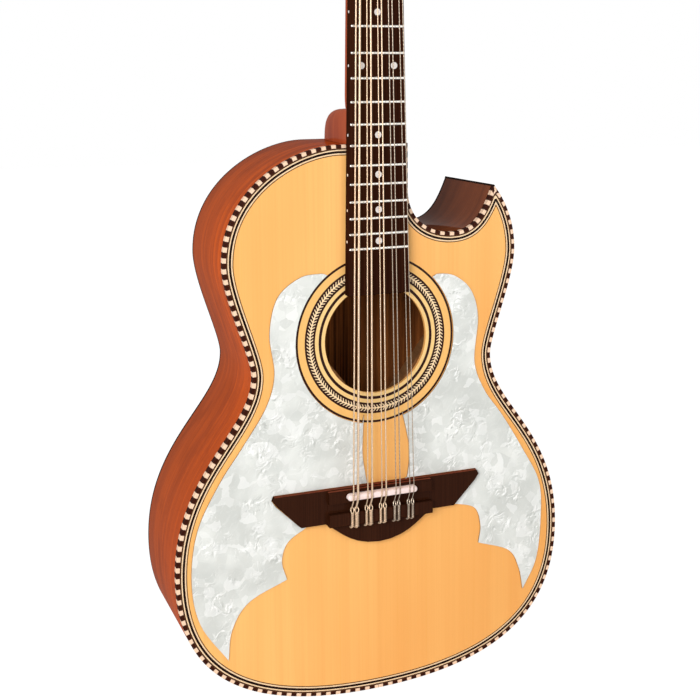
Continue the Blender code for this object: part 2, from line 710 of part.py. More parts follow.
def make_bridge(look, saddle_look):
    """Make the bridge with its ramp, trough and bored tie block, and the saddle in its slot."""
    base = prism("bridge", bridge_outline(), deep(-GAP), deep(-BRIDGE_WING_THICKNESS), look)
    tie_front = SADDLE_Z - TIE_FRONT_DROP
    tie_back = tie_front - TIE_LENGTH
    chamfer = BRIDGE_CHAMFER
    inside = deep(-BRIDGE_WING_THICKNESS / 2)
    profile = [
        (inside, SADDLE_Z + BRIDGE_TOP_EDGE - chamfer),
        (deep(-BRIDGE_RAMP_HEIGHT + 2 * chamfer), SADDLE_Z + BRIDGE_TOP_EDGE - chamfer),
        (deep(-BRIDGE_RAMP_HEIGHT), SADDLE_Z + BRIDGE_TOP_EDGE - 3 * chamfer),
        (deep(-BRIDGE_RAMP_HEIGHT), tie_front + TROUGH_LENGTH + chamfer),
        (deep(-TROUGH_HEIGHT), tie_front + TROUGH_LENGTH),
        (deep(-TROUGH_HEIGHT), tie_front),
        (deep(-TIE_HEIGHT + chamfer), tie_front),
        (deep(-TIE_HEIGHT), tie_front - chamfer),
        (deep(-TIE_HEIGHT), tie_back + chamfer),
        (deep(-TIE_HEIGHT + chamfer), tie_back),
        (inside, tie_back),
    ]
    block = cross_prism("bridge_block", profile, -BRIDGE_BLOCK_HALF, BRIDGE_BLOCK_HALF)
    join(base, block)
    slot = stadium(SADDLE_HALF + GAP, SADDLE_THICKNESS / 2 + GAP, SADDLE_Z)
    cut(base, prism("saddle_slot", slot, deep(-SADDLE_SLOT_FLOOR), deep(-BEYOND)))
    for number, (place, _) in enumerate(string_places(), start=1):
        radius = tie_hole_radius(number)
        rings = [[(place + x, deep(-TIE_HOLE_HEIGHT) + y, z) for x, y in circle(0, 0, radius, 6)]
                 for z in (tie_back - TROUGH_LENGTH / 4, tie_front + TROUGH_LENGTH / 4)]
        cut(base, loft(f"tie_hole_{number}", rings))
    outline = stadium(SADDLE_HALF, SADDLE_THICKNESS / 2, SADDLE_Z)
    crest = stadium(SADDLE_HALF - SADDLE_ROUNDING, SADDLE_THICKNESS / 2 - SADDLE_ROUNDING, SADDLE_Z)
    levels = [(outline, SADDLE_SLOT_FLOOR + GAP), (outline, SADDLE_HEIGHT - SADDLE_ROUNDING * 0.75),
              (crest, SADDLE_HEIGHT)]
    rings = [[(x, deep(-rise), z) for x, z in points] for points, rise in levels]
    loft("saddle", rings, saddle_look, smooth=True)


def tie_hole_radius(number):
    """Give the bore that one string needs in the tie block."""
    return STRING_RADII[number - 1] + TIE_HOLE_CLEARANCE


def make_pickguards(look):
    """Make the two thin plates, each drawn through its own places and cut clear of its neighbours."""
    near, far = deep(-BEYOND), deep(BEYOND)
    rosette = prism("pickguard_ring_cut",
                    circle(0, SOUNDHOLE_Z, ROSETTE_OUTER_RADIUS + PICKGUARD_CLEARANCE, 36), near, far)
    bridge = prism("pickguard_bridge_cut", inset(bridge_outline(), -PICKGUARD_CLEARANCE), near, far)
    bass = [
        [(68.8, 366.7), (99.7, 402.2)],
        [(99.7, 402.2), (144.4, 395.1), (185, 362.8), (200.1, 300.3), (192.1, 228.1), (208.3, 171.7),
         (249.8, 108.9), (294.1, 46.5), (333.5, -30.9), (344.9, -118.7), (330, -196.7),
         (282.1, -267.7)],
        [(282.1, -267.7), (274.8, -214.3), (243.9, -169.8), (174, -140.3)],
        [(174, -140.3), (182.9, -105.4), (171.4, -73.3), (137.5, -51.8)],
        [(137.5, -51.8), (114.6, -22.9)],
        [(114.6, -22.9), (18.3, 4.6)],
        [(18.3, 4.6), (23.8, 30.7), (28.7, 68.8), (27.5, 110), (25.2, 142.1)],
        [(25.2, 142.1), (68.8, 366.7)],
    ]
    treble = [
        [(80.2, 366.7), (110, 387.3)],
        [(110, 387.3), (153.6, 377.5), (186.8, 349.3), (202.4, 298), (196, 216.6), (216.6, 160.2),
         (254.4, 108), (298, 37.8), (332.8, -28.2), (337.6, -96.7), (327.8, -178.8),
         (298.4, -235.2)],
        [(298.4, -235.2), (289.7, -191.6), (267.2, -154.3), (204, -130.4)],
        [(204, -130.4), (208.1, -96.3), (194.8, -61.4), (146.7, -47)],
        [(146.7, -47), (137.5, -22.9)],
        [(137.5, -22.9), (55, 4.6)],
        [(55, 4.6), (60.5, 25.4), (63.5, 64.2), (58, 99.9), (48.1, 142.1)],
        [(48.1, 142.1), (80.2, 366.7)],
    ]
    for name, runs, side in (("pickguard_bass", bass, -1), ("pickguard_treble", treble, 1)):
        plate = prism(name, flowing(runs, side), deep(-GAP), deep(-GAP - PICKGUARD_THICKNESS), look)
        cut(plate, rosette)
        cut(plate, bridge)


def board_half(z):
    """Give the fingerboard's half width at a height."""
    share = (NUT_Z - z) / (NUT_Z - BOARD_END_Z)
    return BOARD_HALF_NUT + (BOARD_HALF_END - BOARD_HALF_NUT) * share


def fret_height(number):
    """Give the world Z of a fret."""
    return SADDLE_Z + SCALE_LENGTH * 2 ** (-number / 12)


def make_fingerboard(look):
    """Make the tapered board with its frets seated across it."""
    top = BOARD_THICKNESS + GAP
    profile = [(deep(-GAP), NUT_Z - GAP), (deep(-top), NUT_Z - GAP)]
    for number in range(1, FRET_COUNT + 1):
        z = fret_height(number)
        profile += [(deep(-top), z + FRET_WIDTH / 2), (deep(-top - FRET_HEIGHT), z + FRET_WIDTH / 5),
                    (deep(-top - FRET_HEIGHT), z - FRET_WIDTH / 5), (deep(-top), z - FRET_WIDTH / 2)]
    profile += [(deep(-top), BOARD_END_Z), (deep(-GAP), BOARD_END_Z)]
    rings = [[(side * board_half(z), y, z) for y, z in profile] for side in (-1, 1)]
    loft("fingerboard", rings, look)


def nut_rise(radius):
    """Give a string's height over the soundboard's plane at the nut."""
    return BOARD_THICKNESS + GAP + FRET_HEIGHT + NUT_ACTION + radius


def make_nut(look):
    """Make the nut with a notch for each string."""
    crest = BOARD_THICKNESS + GAP + FRET_HEIGHT + NUT_CREST
    outline = [(-BOARD_HALF_NUT, -GAP), (-BOARD_HALF_NUT, -crest)]
    for number, (_, place) in enumerate(string_places()):
        radius = STRING_RADII[number] + GAP
        floor = nut_rise(STRING_RADII[number]) - radius
        outline += [(place - radius, -crest), (place - radius * 0.7, -floor),
                    (place + radius * 0.7, -floor), (place + radius, -crest)]
    outline += [(BOARD_HALF_NUT, -crest), (BOARD_HALF_NUT, -GAP)]
    rings = [[(x, deep(y), z) for x, y in outline] for z in (NUT_Z, NUT_Z + NUT_THICKNESS)]
    loft("nut", rings, look)


def neck_ring(z, half, depth, heel, front=0.0):
    """Draw one section of the neck: round behind the board, and drawn in toward the cap at the heel."""
    points = []
    steps = 8
    for i in range(steps + 1):
        angle = pi * i / steps
        round_x, round_y = cos(angle), sin(angle) ** 0.8
        drawn = 1 - (1 - HEEL_CAP_HALF / half) * round_y
        heel_x = (1 if i < steps / 2 else -1) * drawn if i != steps / 2 else 0.0
        x = half * (round_x * (1 - heel) + heel_x * heel)
        points.append((x, deep(front + (depth - front) * round_y), z))
    return points


def make_neck(look, head_frame):
    """Make the neck with its heel, tenon and tilted headstock."""
    rings = []
    heel_back = DEPTH_NECK - HEEL_BACK_MARGIN
    for share in (0.0, 0.35, 0.6, 0.78, 0.9, 0.97, 1.0):
        drop = (1 - share ** HEEL_POWER) ** (1 / HEEL_POWER)
        depth = NECK_DEPTH_BODY + (heel_back - NECK_DEPTH_BODY) * drop
        z = NECK_Z + GAP + HEEL_LENGTH * share
        rings.append(neck_ring(z, board_half(z), depth, 0.9 - 0.25 * share))
    for share in (0.4, 1.0):
        z = NECK_Z + HEEL_LENGTH + HEEL_FLARE * share
        depth = NECK_DEPTH_BODY + HEEL_FLARE * 0.3 * (1 - share) ** 2
        rings.append(neck_ring(z, board_half(z), depth, 0.3 * (1 - share)))
    flare_end = NECK_Z + HEEL_LENGTH + HEEL_FLARE
    for share in (0.4, 1.0):
        z = flare_end + (HEAD_Z - flare_end) * share
        depth = NECK_DEPTH_BODY + (NECK_DEPTH_NUT - NECK_DEPTH_BODY) * share
        rings.append(neck_ring(z, board_half(min(z, NUT_Z)), depth, 0.0))
    front = VOLUTE_LENGTH * tan(HEAD_TILT) + GAP
    rings.append(neck_ring(HEAD_Z + VOLUTE_LENGTH, BOARD_HALF_NUT, NECK_DEPTH_NUT, 0.0, front))
    neck = loft("neck", rings, look, smooth=True)
    join(neck, box("tenon", (-TENON_HALF, deep(TENON_FRONT), NECK_Z - TENON_LENGTH),
                   (TENON_HALF, deep(TENON_BACK), NECK_Z + HEEL_LENGTH / 2)))
    head = prism("head_slab", head_outline(GAP), 0, HEAD_THICKNESS, None, head_frame)
    for side, number, x, z in machines():
        cut(head, bore(f"head_bore_{side}_{number}", x, z, BORE_RADIUS, head_frame))
    join(neck, head)
    cut(neck, box("truss_channel", (-TRUSS_HALF - GAP, deep(-BEYOND), NECK_Z + TRUSS_END_MARGIN - GAP),
                  (TRUSS_HALF + GAP, deep(TRUSS_DEPTH + GAP), NUT_Z - TRUSS_END_MARGIN + GAP)))
    return neck


def make_truss_rod(look):
    """Make the rod that lies in the neck's channel."""
    box("truss_rod", (-TRUSS_HALF, deep(0), NECK_Z + TRUSS_END_MARGIN),
        (TRUSS_HALF, deep(TRUSS_DEPTH), NUT_Z - TRUSS_END_MARGIN), look)


def head_outline(start):
    """Draw the headstock: shoulders that flare from the nut and a low double arch at the crown."""
    shoulder = (HEAD_SHOULDER_HALF, HEAD_SHOULDER_RISE)
    tip = (HEAD_TIP_HALF, HEAD_LENGTH - HEAD_CROWN)
    arch = (HEAD_TIP_HALF * 0.36, HEAD_LENGTH - HEAD_CROWN * 0.15)
    valley = (0, HEAD_LENGTH - HEAD_CROWN * 0.45)
    right = [Vector((BOARD_HALF_NUT, start))]
    right += curve_points((BOARD_HALF_NUT, HEAD_SHOULDER_RISE * 0.2),
                          (BOARD_HALF_NUT, HEAD_SHOULDER_RISE * 0.75),
                          (HEAD_SHOULDER_HALF, HEAD_SHOULDER_RISE * 0.45), shoulder, 5)
    right.append(Vector(shoulder))
    right += curve_points(tip, (tip[0], HEAD_LENGTH), (tip[0] * 0.62, HEAD_LENGTH + HEAD_CROWN * 0.25),
                          arch, 4)
    right += curve_points(arch, (tip[0] * 0.22, HEAD_LENGTH - HEAD_CROWN * 0.35),
                          (tip[0] * 0.12, valley[1]), valley, 3)
    left = [Vector((-p.x, p.y)) for p in reversed(right)]
    return right + [Vector(valley)] + left


def machines():
    """List the tuning machines: side name, number from the nut, and the post's place on the head."""
    places = []
    for side, sign in (("bass", -1), ("treble", 1)):
        for number in range(1, MACHINES_A_SIDE + 1):
            places.append((side, number, sign * POST_X, POST_FIRST + (number - 1) * POST_PITCH))
    return places


def make_veneer(look, head_frame):
    """Make the head's front plate, bored for the posts."""
    veneer = prism("head_veneer", head_outline(GAP * 3), -GAP - VENEER_THICKNESS, -GAP, look, head_frame)
    for side, number, x, z in machines():
        cut(veneer, bore(f"veneer_bore_{side}_{number}", x, z, BORE_RADIUS, head_frame))
    return veneer


def make_tuner_plate(side, look, head_frame):
    """Make one long plate on the head's back, with a pair of ears for each worm."""
    own = [machine for machine in machines() if machine[0] == side]
    middle = own[0][2]
    low = own[0][3] - AXIS_DISTANCE - PLATE_END_MARGIN / 2
    high = own[-1][3] + PLATE_END_MARGIN
    corner = PLATE_HALF_WIDTH * 0.35
    outline = [
        (middle - PLATE_HALF_WIDTH + corner, low), (middle + PLATE_HALF_WIDTH - corner, low),
        (middle + PLATE_HALF_WIDTH, low + corner), (middle + PLATE_HALF_WIDTH, high - corner),
        (middle + PLATE_HALF_WIDTH - corner, high), (middle - PLATE_HALF_WIDTH + corner, high),
        (middle - PLATE_HALF_WIDTH, high - corner), (middle - PLATE_HALF_WIDTH, low + corner),
    ]
    front = HEAD_THICKNESS + GAP
    plate = prism(f"tuner_plate_{side}", outline, front, front + PLATE_THICKNESS, look, head_frame)
    for _, number, x, z in own:
        for step, offset in enumerate((-EAR_DISTANCE, EAR_DISTANCE)):
            worm_z = z - AXIS_DISTANCE
            ear = box(f"ear_{side}_{number}_{step}",
                      (x + offset - EAR_THICKNESS / 2, front + PLATE_THICKNESS / 2, worm_z - EAR_HALF_WIDTH),
                      (x + offset + EAR_THICKNESS / 2, GEAR_MID_Y + EAR_HALF_WIDTH, worm_z + EAR_HALF_WIDTH),
                      None, head_frame)
            join(plate, ear)
    for _, number, x, z in own:
        worm_z = z - AXIS_DISTANCE
        rings = [[(x + reach, GEAR_MID_Y + y, worm_z + v)
                  for y, v in circle(0, 0, (WORM_CORE_RADIUS + GAP) / cos(pi / 6), 6)]
                 for reach in (-EAR_DISTANCE - EAR_THICKNESS, EAR_DISTANCE + EAR_THICKNESS)]
        cut(plate, loft(f"worm_bore_{side}_{number}", rings, None, head_frame))
        cut(plate, bore(f"plate_bore_{side}_{number}", x, z, BORE_RADIUS, head_frame))
    return plate


def gear_ring(x, y, z):
    """Draw the gear's section at one depth; the teeth lean with the worm's thread."""
    lean = WORM_LEAD / (2 * pi * WORM_PITCH_RADIUS) / GEAR_PITCH_RADIUS
    turn = lean * (y - GEAR_MID_Y)
    tooth = 2 * pi / GEAR_TEETH
    tip = GEAR_PITCH_RADIUS + GEAR_ADDENDUM
    root = GEAR_PITCH_RADIUS - GEAR_DEDENDUM
    points = []
    for number in range(GEAR_TEETH):
        middle = (number + 0.5) * tooth - turn
        for share, radius in ((-GEAR_ROOT_SHARE, root), (-GEAR_TIP_SHARE, tip), (GEAR_TIP_SHARE, tip),
                              (GEAR_ROOT_SHARE, root)):
            angle = middle + share * tooth / 2 - pi / 2
            points.append((x + radius * cos(angle), y, z + radius * sin(angle)))
    return points


def make_post(side, number, x, z, look, head_frame):
    """Make a string post with its gear; its origin is on its axis."""
    axis = bpy.data.objects.new(f"post_axis_{side}_{number}", None)
    bpy.context.scene.collection.objects.link(axis)
    axis.parent = head_frame
    axis.location = (x, GEAR_MID_Y, z)
    back = GEAR_MID_Y - GEAR_THICKNESS / 2
    front = -GAP - VENEER_THICKNESS - POST_FRONT_REACH
    groove = front + POST_FRONT_REACH * 0.45
    profile = [
        (front, POST_RADIUS * 0.72),
        (front + POST_CHAMFER, POST_RADIUS),
        (groove - POST_GROOVE_HALF, POST_RADIUS),
        (groove, POST_RADIUS * 0.82),
        (groove + POST_GROOVE_HALF, POST_RADIUS),
        (back + GEAR_THICKNESS / 3, POST_RADIUS),
    ]
    rings = [[(cx, y - GEAR_MID_Y, cz) for cx, cz in circle(0, 0, radius, 8)] for y, radius in profile]
    post = loft(f"post_{side}_{number}", rings, look, axis, smooth=True)
    teeth = [[(px, py - GEAR_MID_Y, pz) for px, py, pz in gear_ring(0, y, 0)]
             for y in (back, back + GEAR_THICKNESS)]
    join(post, loft(f"gear_{side}_{number}", teeth, None, axis))


def worm_thread(name, parent):
    """Sweep the worm's thread, whose foot is sunk in the core."""
    buried = WORM_CORE_RADIUS * 0.8
    half_crest = WORM_LEAD * WORM_CREST_SHARE / 2
    half_foot = WORM_LEAD * WORM_FOOT_SHARE / 2
    steps = round(WORM_TURNS * WORM_STEPS_A_TURN)
    rings = []
    for i in range(steps + 1):
        angle = 2 * pi * (i - steps / 2) / WORM_STEPS_A_TURN
        place = WORM_LEAD * angle / (2 * pi)
        outward = Vector((0, -sin(angle), cos(angle)))
        fade = WORM_END_FADE if i in (0, steps) else 1.0
        crest = WORM_CORE_RADIUS + (WORM_OUTER_RADIUS - WORM_CORE_RADIUS) * fade
        ring = []
        for radius, offset in ((buried, -half_foot), (crest, -half_crest),
                               (crest, half_crest), (buried, half_foot)):
            ring.append(outward * radius + Vector((place + offset, 0, 0)))
        rings.append(ring)
    return loft(name, rings, None, parent)


def make_key(side, number, x, z, look, head_frame):
    """Make a key: worm, shaft and button in one turned piece; its origin is on its axis."""
    axis = bpy.data.objects.new(f"key_axis_{side}_{number}", None)
    bpy.context.scene.collection.objects.link(axis)
    axis.parent = head_frame
    axis.location = (x, GEAR_MID_Y, z - AXIS_DISTANCE)
    sign = -1 if x < 0 else 1
    start = BUTTON_START - abs(x)
    thick, wide = BUTTON_HALF_THICKNESS, BUTTON_HALF_WIDTH
    profile = [
        (-EAR_DISTANCE - EAR_THICKNESS / 2 - SHAFT_END_REACH, WORM_CORE_RADIUS, WORM_CORE_RADIUS),
        (start - COLLAR_LENGTH, WORM_CORE_RADIUS, WORM_CORE_RADIUS),
        (start - COLLAR_LENGTH * 0.9, COLLAR_RADIUS, COLLAR_RADIUS),
        (start + BUTTON_LENGTH * 0.12, thick * 0.9, wide * 0.64),
        (start + BUTTON_LENGTH * 0.40, thick, wide * 0.98),
        (start + BUTTON_LENGTH * 0.72, thick * 0.92, wide * 0.97),
        (start + BUTTON_LENGTH, thick * 0.45, wide * 0.50),
    ]
    angles = [2 * pi * i / 10 for i in range(10)]
    rings = [[(sign * reach, flat * cos(a), tall * sin(a)) for a in angles] for reach, flat, tall in profile]
    key = loft(f"key_{side}_{number}", rings, look, axis, smooth=True)
    join(key, worm_thread(f"thread_{side}_{number}", axis))


def post_for(number):
    """Give the machine of a string: the outer strings go to the posts nearest the nut."""
    places = machines()
    own = places[:MACHINES_A_SIDE] if number <= MACHINES_A_SIDE else places[MACHINES_A_SIDE:]
    step = number - 1 if number <= MACHINES_A_SIDE else 2 * MACHINES_A_SIDE - number
    return own[step]


def tie_run(place, radius):
    """List the places of the string's loop end: over the tie block, down behind it and through its bore."""
    tie_front = SADDLE_Z - TIE_FRONT_DROP
    tie_back = tie_front - TIE_LENGTH
    over = TIE_HEIGHT + TIE_OVER_GAP + radius
    behind = TIE_OVER_GAP + radius
    return [
        (place, deep(-over), tie_front - TIE_BEND),
        (place, deep(-over), tie_back + TIE_BEND),
        (place, deep(-over + radius * 0.5 + TIE_BEND), tie_back - behind),
        (place, deep(-TIE_HOLE_HEIGHT - TIE_BEND), tie_back - behind),
        (place, deep(-TIE_HOLE_HEIGHT), tie_back + 2 * TIE_BEND),
        (place, deep(-TIE_HOLE_HEIGHT), tie_front - TIE_BEND),
    ]


def make_string(number, look, head_frame):
    """Lead one string from its tie over the saddle and the nut to the turns round its post."""
    radius = STRING_RADII[number - 1]
    saddle_x, nut_x = string_places()[number - 1]
    points = [Vector(p) for p in tie_run(saddle_x, radius)]
    crest = deep(-STRING_SADDLE_RISE - radius)
    edge = SADDLE_THICKNESS / 2
    slope = (STRING_SADDLE_RISE + radius - nut_rise(radius)) / SCALE_LENGTH
    points.append(Vector((saddle_x, crest + GAP / 3, SADDLE_Z - edge * 0.5)))
    points.append(Vector((saddle_x, crest + slope * edge, SADDLE_Z + edge)))
    nut_y = deep(-nut_rise(radius))
    points.append(Vector((nut_x, nut_y, NUT_Z)))
    points.append(Vector((nut_x, nut_y + NUT_DIP, NUT_Z + NUT_THICKNESS)))
    _, _, post_x, post_z = post_for(number)
    reach = POST_RADIUS + WINDING_GAP + radius
    sign = 1 if post_x < 0 else -1
    front = -GAP - VENEER_THICKNESS - POST_FRONT_REACH
    climb = 2 * radius + WINDING_GAP
    first = front + POST_FRONT_REACH * 0.45 - climb * WINDING_TURNS / 2
    entry = head_frame.matrix_world.inverted() @ points[-1]
    away = Vector((post_x, post_z)) - Vector((entry.x, entry.z))
    tangent = sqrt(away.length_squared - reach ** 2)
    aim = Vector((away.x, away.y)).normalized()
    across = Vector((aim.y, -aim.x)) * sign
    touch = Vector((entry.x, entry.z)) + (aim * tangent + across * reach) * (tangent / away.length)
    start = touch - Vector((post_x, post_z))
    begin = Vector((1, 0)).angle_signed(start, 0.0)
    steps = WINDING_TURNS * WINDING_POINTS
    for i in range(steps + 1):
        turn = -begin - sign * 2 * pi * i / WINDING_POINTS
        y = first + climb * i / WINDING_POINTS
        local = Vector((post_x + reach * cos(turn), y, post_z + reach * sin(turn)))
        points.append(head_frame.matrix_world @ local)
    made = tube(f"string_{number}", points, radius, look)
    least = least_gap(points, radius)
    print(f"string_{number}: least gap to itself {least * 1000:.2f} mm")
    return made


def tube(name, points, radius, look):
    """Make a round wire through its points."""
    data = bpy.data.curves.new(name, "CURVE")
    data.dimensions = "3D"
    data.bevel_depth = radius
    data.bevel_resolution = STRING_SIDES_RESOLUTION
    data.use_fill_caps = True
    spline = data.splines.new("POLY")
    spline.points.add(len(points) - 1)
    for target, place in zip(spline.points, points):
        target.co = (*place, 1.0)
    return link(name, data, look, None)


def least_gap(points, radius):
    """Measure the least clear space between stretches of a wire that aren't neighbours."""
    fine = []
    for a, b in zip(points, points[1:]):
        steps = max(1, min(12, round((b - a).length / radius)))
        fine += [a.lerp(b, i / steps) for i in range(steps)]
    along = [0.0]
    for a, b in zip(fine, fine[1:]):
        along.append(along[-1] + (b - a).length)
    least = 1.0
    for i, a in enumerate(fine):
        for j in range(i + 1, len(fine)):
            if along[j] - along[i] > 8 * radius + POST_RADIUS:
                least = min(least, (fine[j] - a).length)
    return least - 2 * radius


def main():
    """Build the whole instrument."""
    clear_scene()
    spruce = finish("spruce", (0.93, 0.52, 0.17), 0.30)
    mahogany = finish("mahogany", (0.33, 0.08, 0.03), 0.28)
    cedar = finish("cedar", (0.45, 0.20, 0.09), 0.60)
    ebony = finish("ebony", (0.030, 0.012, 0.008), 0.38)
    board_wood = finish("rosewood", (0.055, 0.018, 0.010), 0.45)
    rope = finish("rope_binding", (0.75, 0.55, 0.36), 0.35)
    dark = finish("dark_binding", (0.030, 0.014, 0.010), 0.30)
    inlay = finish("rosette_inlay", (0.40, 0.24, 0.12), 0.35)
    pearl = finish("pearl_plastic", (0.80, 0.82, 0.78), 0.22)
    bone = finish("bone", (0.92, 0.82, 0.72), 0.35)
    steel = finish("steel", (0.62, 0.62, 0.60), 0.25, 1.0)
    brass = finish("gilt_brass", (0.80, 0.58, 0.25), 0.28, 1.0)
    bronze = finish("wound_bronze", (0.72, 0.48, 0.24), 0.32, 1.0)

    head_frame = bpy.data.objects.new("head_frame", None)
    bpy.context.scene.collection.objects.link(head_frame)
    head_frame.location = (0, FACE_Y, HEAD_Z)
    head_frame.rotation_euler = (-HEAD_TILT, 0, 0)
    head_frame.matrix_world = Matrix.Translation(head_frame.location) @ Matrix.Rotation(-HEAD_TILT, 4, "X")

    outline = body_outline()
    make_soundboard(outline, spruce)
    make_rosette(inlay)
    make_back(outline, mahogany)
    make_sides(outline, mahogany)
    make_bindings(outline, rope, dark)
    make_linings(outline, cedar)
    make_blocks(outline, cedar)
    make_end_pin(bone)
    make_braces(outline, spruce)
    make_bridge(ebony, bone)
    make_pickguards(pearl)
    make_fingerboard(board_wood)
    make_nut(bone)
    make_neck(mahogany, head_frame)
    make_truss_rod(steel)
    make_veneer(ebony, head_frame)
    for side in ("bass", "treble"):
        make_tuner_plate(side, brass, head_frame)
    for side, number, x, z in machines():
        make_post(side, number, x, z, steel, head_frame)
        make_key(side, number, x, z, pearl, head_frame)
    for number in range(1, 2 * COURSES + 1):
        make_string(number, bronze if number < 7 else steel, head_frame)


main()
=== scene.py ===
"""Dresses the bajo quinto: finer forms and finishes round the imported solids, and the studio.

Lengths are in metres. X runs to the treble side, Y from the soundboard to the back, Z from the tail
to the head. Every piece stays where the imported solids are.
"""
import logging
import math
from dataclasses import dataclass, field
from enum import Enum
from typing import Callable, Iterable, Optional, Sequence, Union

import bmesh
import bpy
import numpy as np
from mathutils import Matrix, Vector


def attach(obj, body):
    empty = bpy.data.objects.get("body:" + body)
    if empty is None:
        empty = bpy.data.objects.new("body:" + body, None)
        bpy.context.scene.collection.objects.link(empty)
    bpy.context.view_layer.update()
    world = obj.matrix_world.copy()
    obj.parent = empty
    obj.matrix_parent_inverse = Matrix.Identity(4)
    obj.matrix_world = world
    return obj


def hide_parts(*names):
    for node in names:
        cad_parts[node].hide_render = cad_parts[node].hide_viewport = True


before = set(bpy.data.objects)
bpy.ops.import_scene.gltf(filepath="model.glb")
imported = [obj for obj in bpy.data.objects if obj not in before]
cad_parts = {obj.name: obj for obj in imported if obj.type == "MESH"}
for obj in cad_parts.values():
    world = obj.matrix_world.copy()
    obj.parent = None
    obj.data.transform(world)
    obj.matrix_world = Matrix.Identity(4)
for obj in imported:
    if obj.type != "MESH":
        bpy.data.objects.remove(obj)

logging.basicConfig(level=logging.INFO, format="%(message)s")
LOG = logging.getLogger("bajo_quinto")
Colour = tuple[float, float, float]
Depth = Union[float, Callable[[float], float]]
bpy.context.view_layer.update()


class Side(Enum):
    """The two sides of the instrument, with the sign of X on each."""

    BASS = -1
    TREBLE = 1


@dataclass(frozen=True)
class Layout:
    """The heights and depths that the sub-assemblies share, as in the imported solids."""

    face_y: float = -0.04450
    tail_z: float = 0.0120
    body_length: float = 0.4363
    saddle_z: float = 0.1750
    scale_length: float = 0.6480
    nut_thickness: float = 0.0050
    gap: float = 0.0003
    depth_neck: float = 0.0915
    depth_tail: float = 0.1050
    head_tilt: float = math.radians(13)
    head_thickness: float = 0.0140
    veneer: float = 0.0020
    post_reach: float = 0.0210
    first_post: float = 0.0380
    post_pitch: float = 0.0270

    @property
    def neck_z(self) -> float:
        """Give the height of the body's top."""
        return self.tail_z + self.body_length

    @property
    def nut_z(self) -> float:
        """Give the height of the nut's string edge."""
        return self.saddle_z + self.scale_length

    @property
    def head_z(self) -> float:
        """Give the height where the headstock starts."""
        return self.nut_z + self.nut_thickness + self.gap

    @property
    def hole_z(self) -> float:
        """Give the height of the soundhole's middle."""
        return self.saddle_z + 0.120

    @property
    def head_face(self) -> float:
        """Give the depth of the dark face on the head, in the head's frame."""
        return -self.gap - self.veneer

    def back_y(self, z: float) -> float:
        """Give the depth of the back's outer face at a height."""
        share = (z - self.tail_z) / self.body_length
        return self.face_y + self.depth_tail + (self.depth_neck - self.depth_tail) * share

    def fret_z(self, number: float) -> float:
        """Give the height of a fret."""
        return self.saddle_z + self.scale_length * 2 ** (-number / 12)

    def head_frame(self) -> Matrix:
        """Give the frame of the headstock: local Z along it, local Y into it."""
        return Matrix.Translation((0, self.face_y, self.head_z)) @ Matrix.Rotation(-self.head_tilt, 4, "X")


LAY = Layout()


class Value:
    """A shader socket that takes part in Python arithmetic."""

    def __init__(self, graph: "Graph", socket: bpy.types.NodeSocket) -> None:
        """Wrap one output socket of a node tree."""
        self.graph = graph
        self.socket = socket

    def math(self, operation: str, *others: Union["Value", float]) -> "Value":
        """Add a Math node.

        Args:
            operation: the Math node's operation.
            others: the other operands, wrapped sockets or numbers.

        Returns:
            The node's wrapped result.
        """
        values = {i: other for i, other in enumerate((self, *others))}
        return self.graph.node("ShaderNodeMath", {"operation": operation}, values)

    def __add__(self, other: Union["Value", float]) -> "Value":
        """Add."""
        return self.math("ADD", other)

    __radd__ = __add__

    def __mul__(self, other: Union["Value", float]) -> "Value":
        """Multiply."""
        return self.math("MULTIPLY", other)

    __rmul__ = __mul__

    def __sub__(self, other: Union["Value", float]) -> "Value":
        """Subtract."""
        return self.math("SUBTRACT", other)

    def __rsub__(self, other: float) -> "Value":
        """Take this value from a number."""
        return (self * -1.0) + other

    def __truediv__(self, other: Union["Value", float]) -> "Value":
        """Divide."""
        return self.math("DIVIDE", other)

    def __pow__(self, other: float) -> "Value":
        """Raise to a power."""
        return self.math("POWER", other)

    def over(self, edge: float, soft: float) -> "Value":
        """Give 0 under an edge and 1 over it, with a soft step."""
        return self.between(edge - soft / 2, edge + soft / 2)

    def between(self, low: float, high: float) -> "Value":
        """Map a range to 0..1, clamped."""
        inputs = {"Value": self, "From Min": low, "From Max": high}
        return self.graph.node("ShaderNodeMapRange", {"clamp": True}, inputs)

    def band(self, low: float, high: float, soft: float) -> "Value":
        """Give 1 between two edges and 0 outside them."""
        return self.over(low, soft) * (1.0 - self.over(high, soft))

    def wave(self) -> "Value":
        """Turn a phase in turns into a smooth 0..1 wave."""
        return (self * (2 * math.pi)).math("SINE") * 0.5 + 0.5


class Graph:
    """A node tree, built with Python expressions."""

    def __init__(self, tree: bpy.types.NodeTree) -> None:
        """Wrap a node tree."""
        self.tree = tree

    def node(self, kind: str, settings: Optional[dict] = None, inputs: Optional[dict] = None,
             output: Union[int, str] = 0) -> Value:
        """Add one node.

        Args:
            kind: the node's type.
            settings: the node's own settings, set first.
            inputs: values or wrapped sockets by input name or number.
            output: the output to wrap.

        Returns:
            The wrapped output.
        """
        made = self.tree.nodes.new(kind)
        for key, value in (settings or {}).items():
            setattr(made, key, value)
        for key, value in (inputs or {}).items():
            if isinstance(value, Value):
                self.link(value, made.inputs[key])
            else:
                made.inputs[key].default_value = value
        return Value(self, made.outputs[output])

    def link(self, value: Value, socket: bpy.types.NodeSocket) -> None:
        """Lead a value to a socket."""
        self.tree.links.new(value.socket, socket)


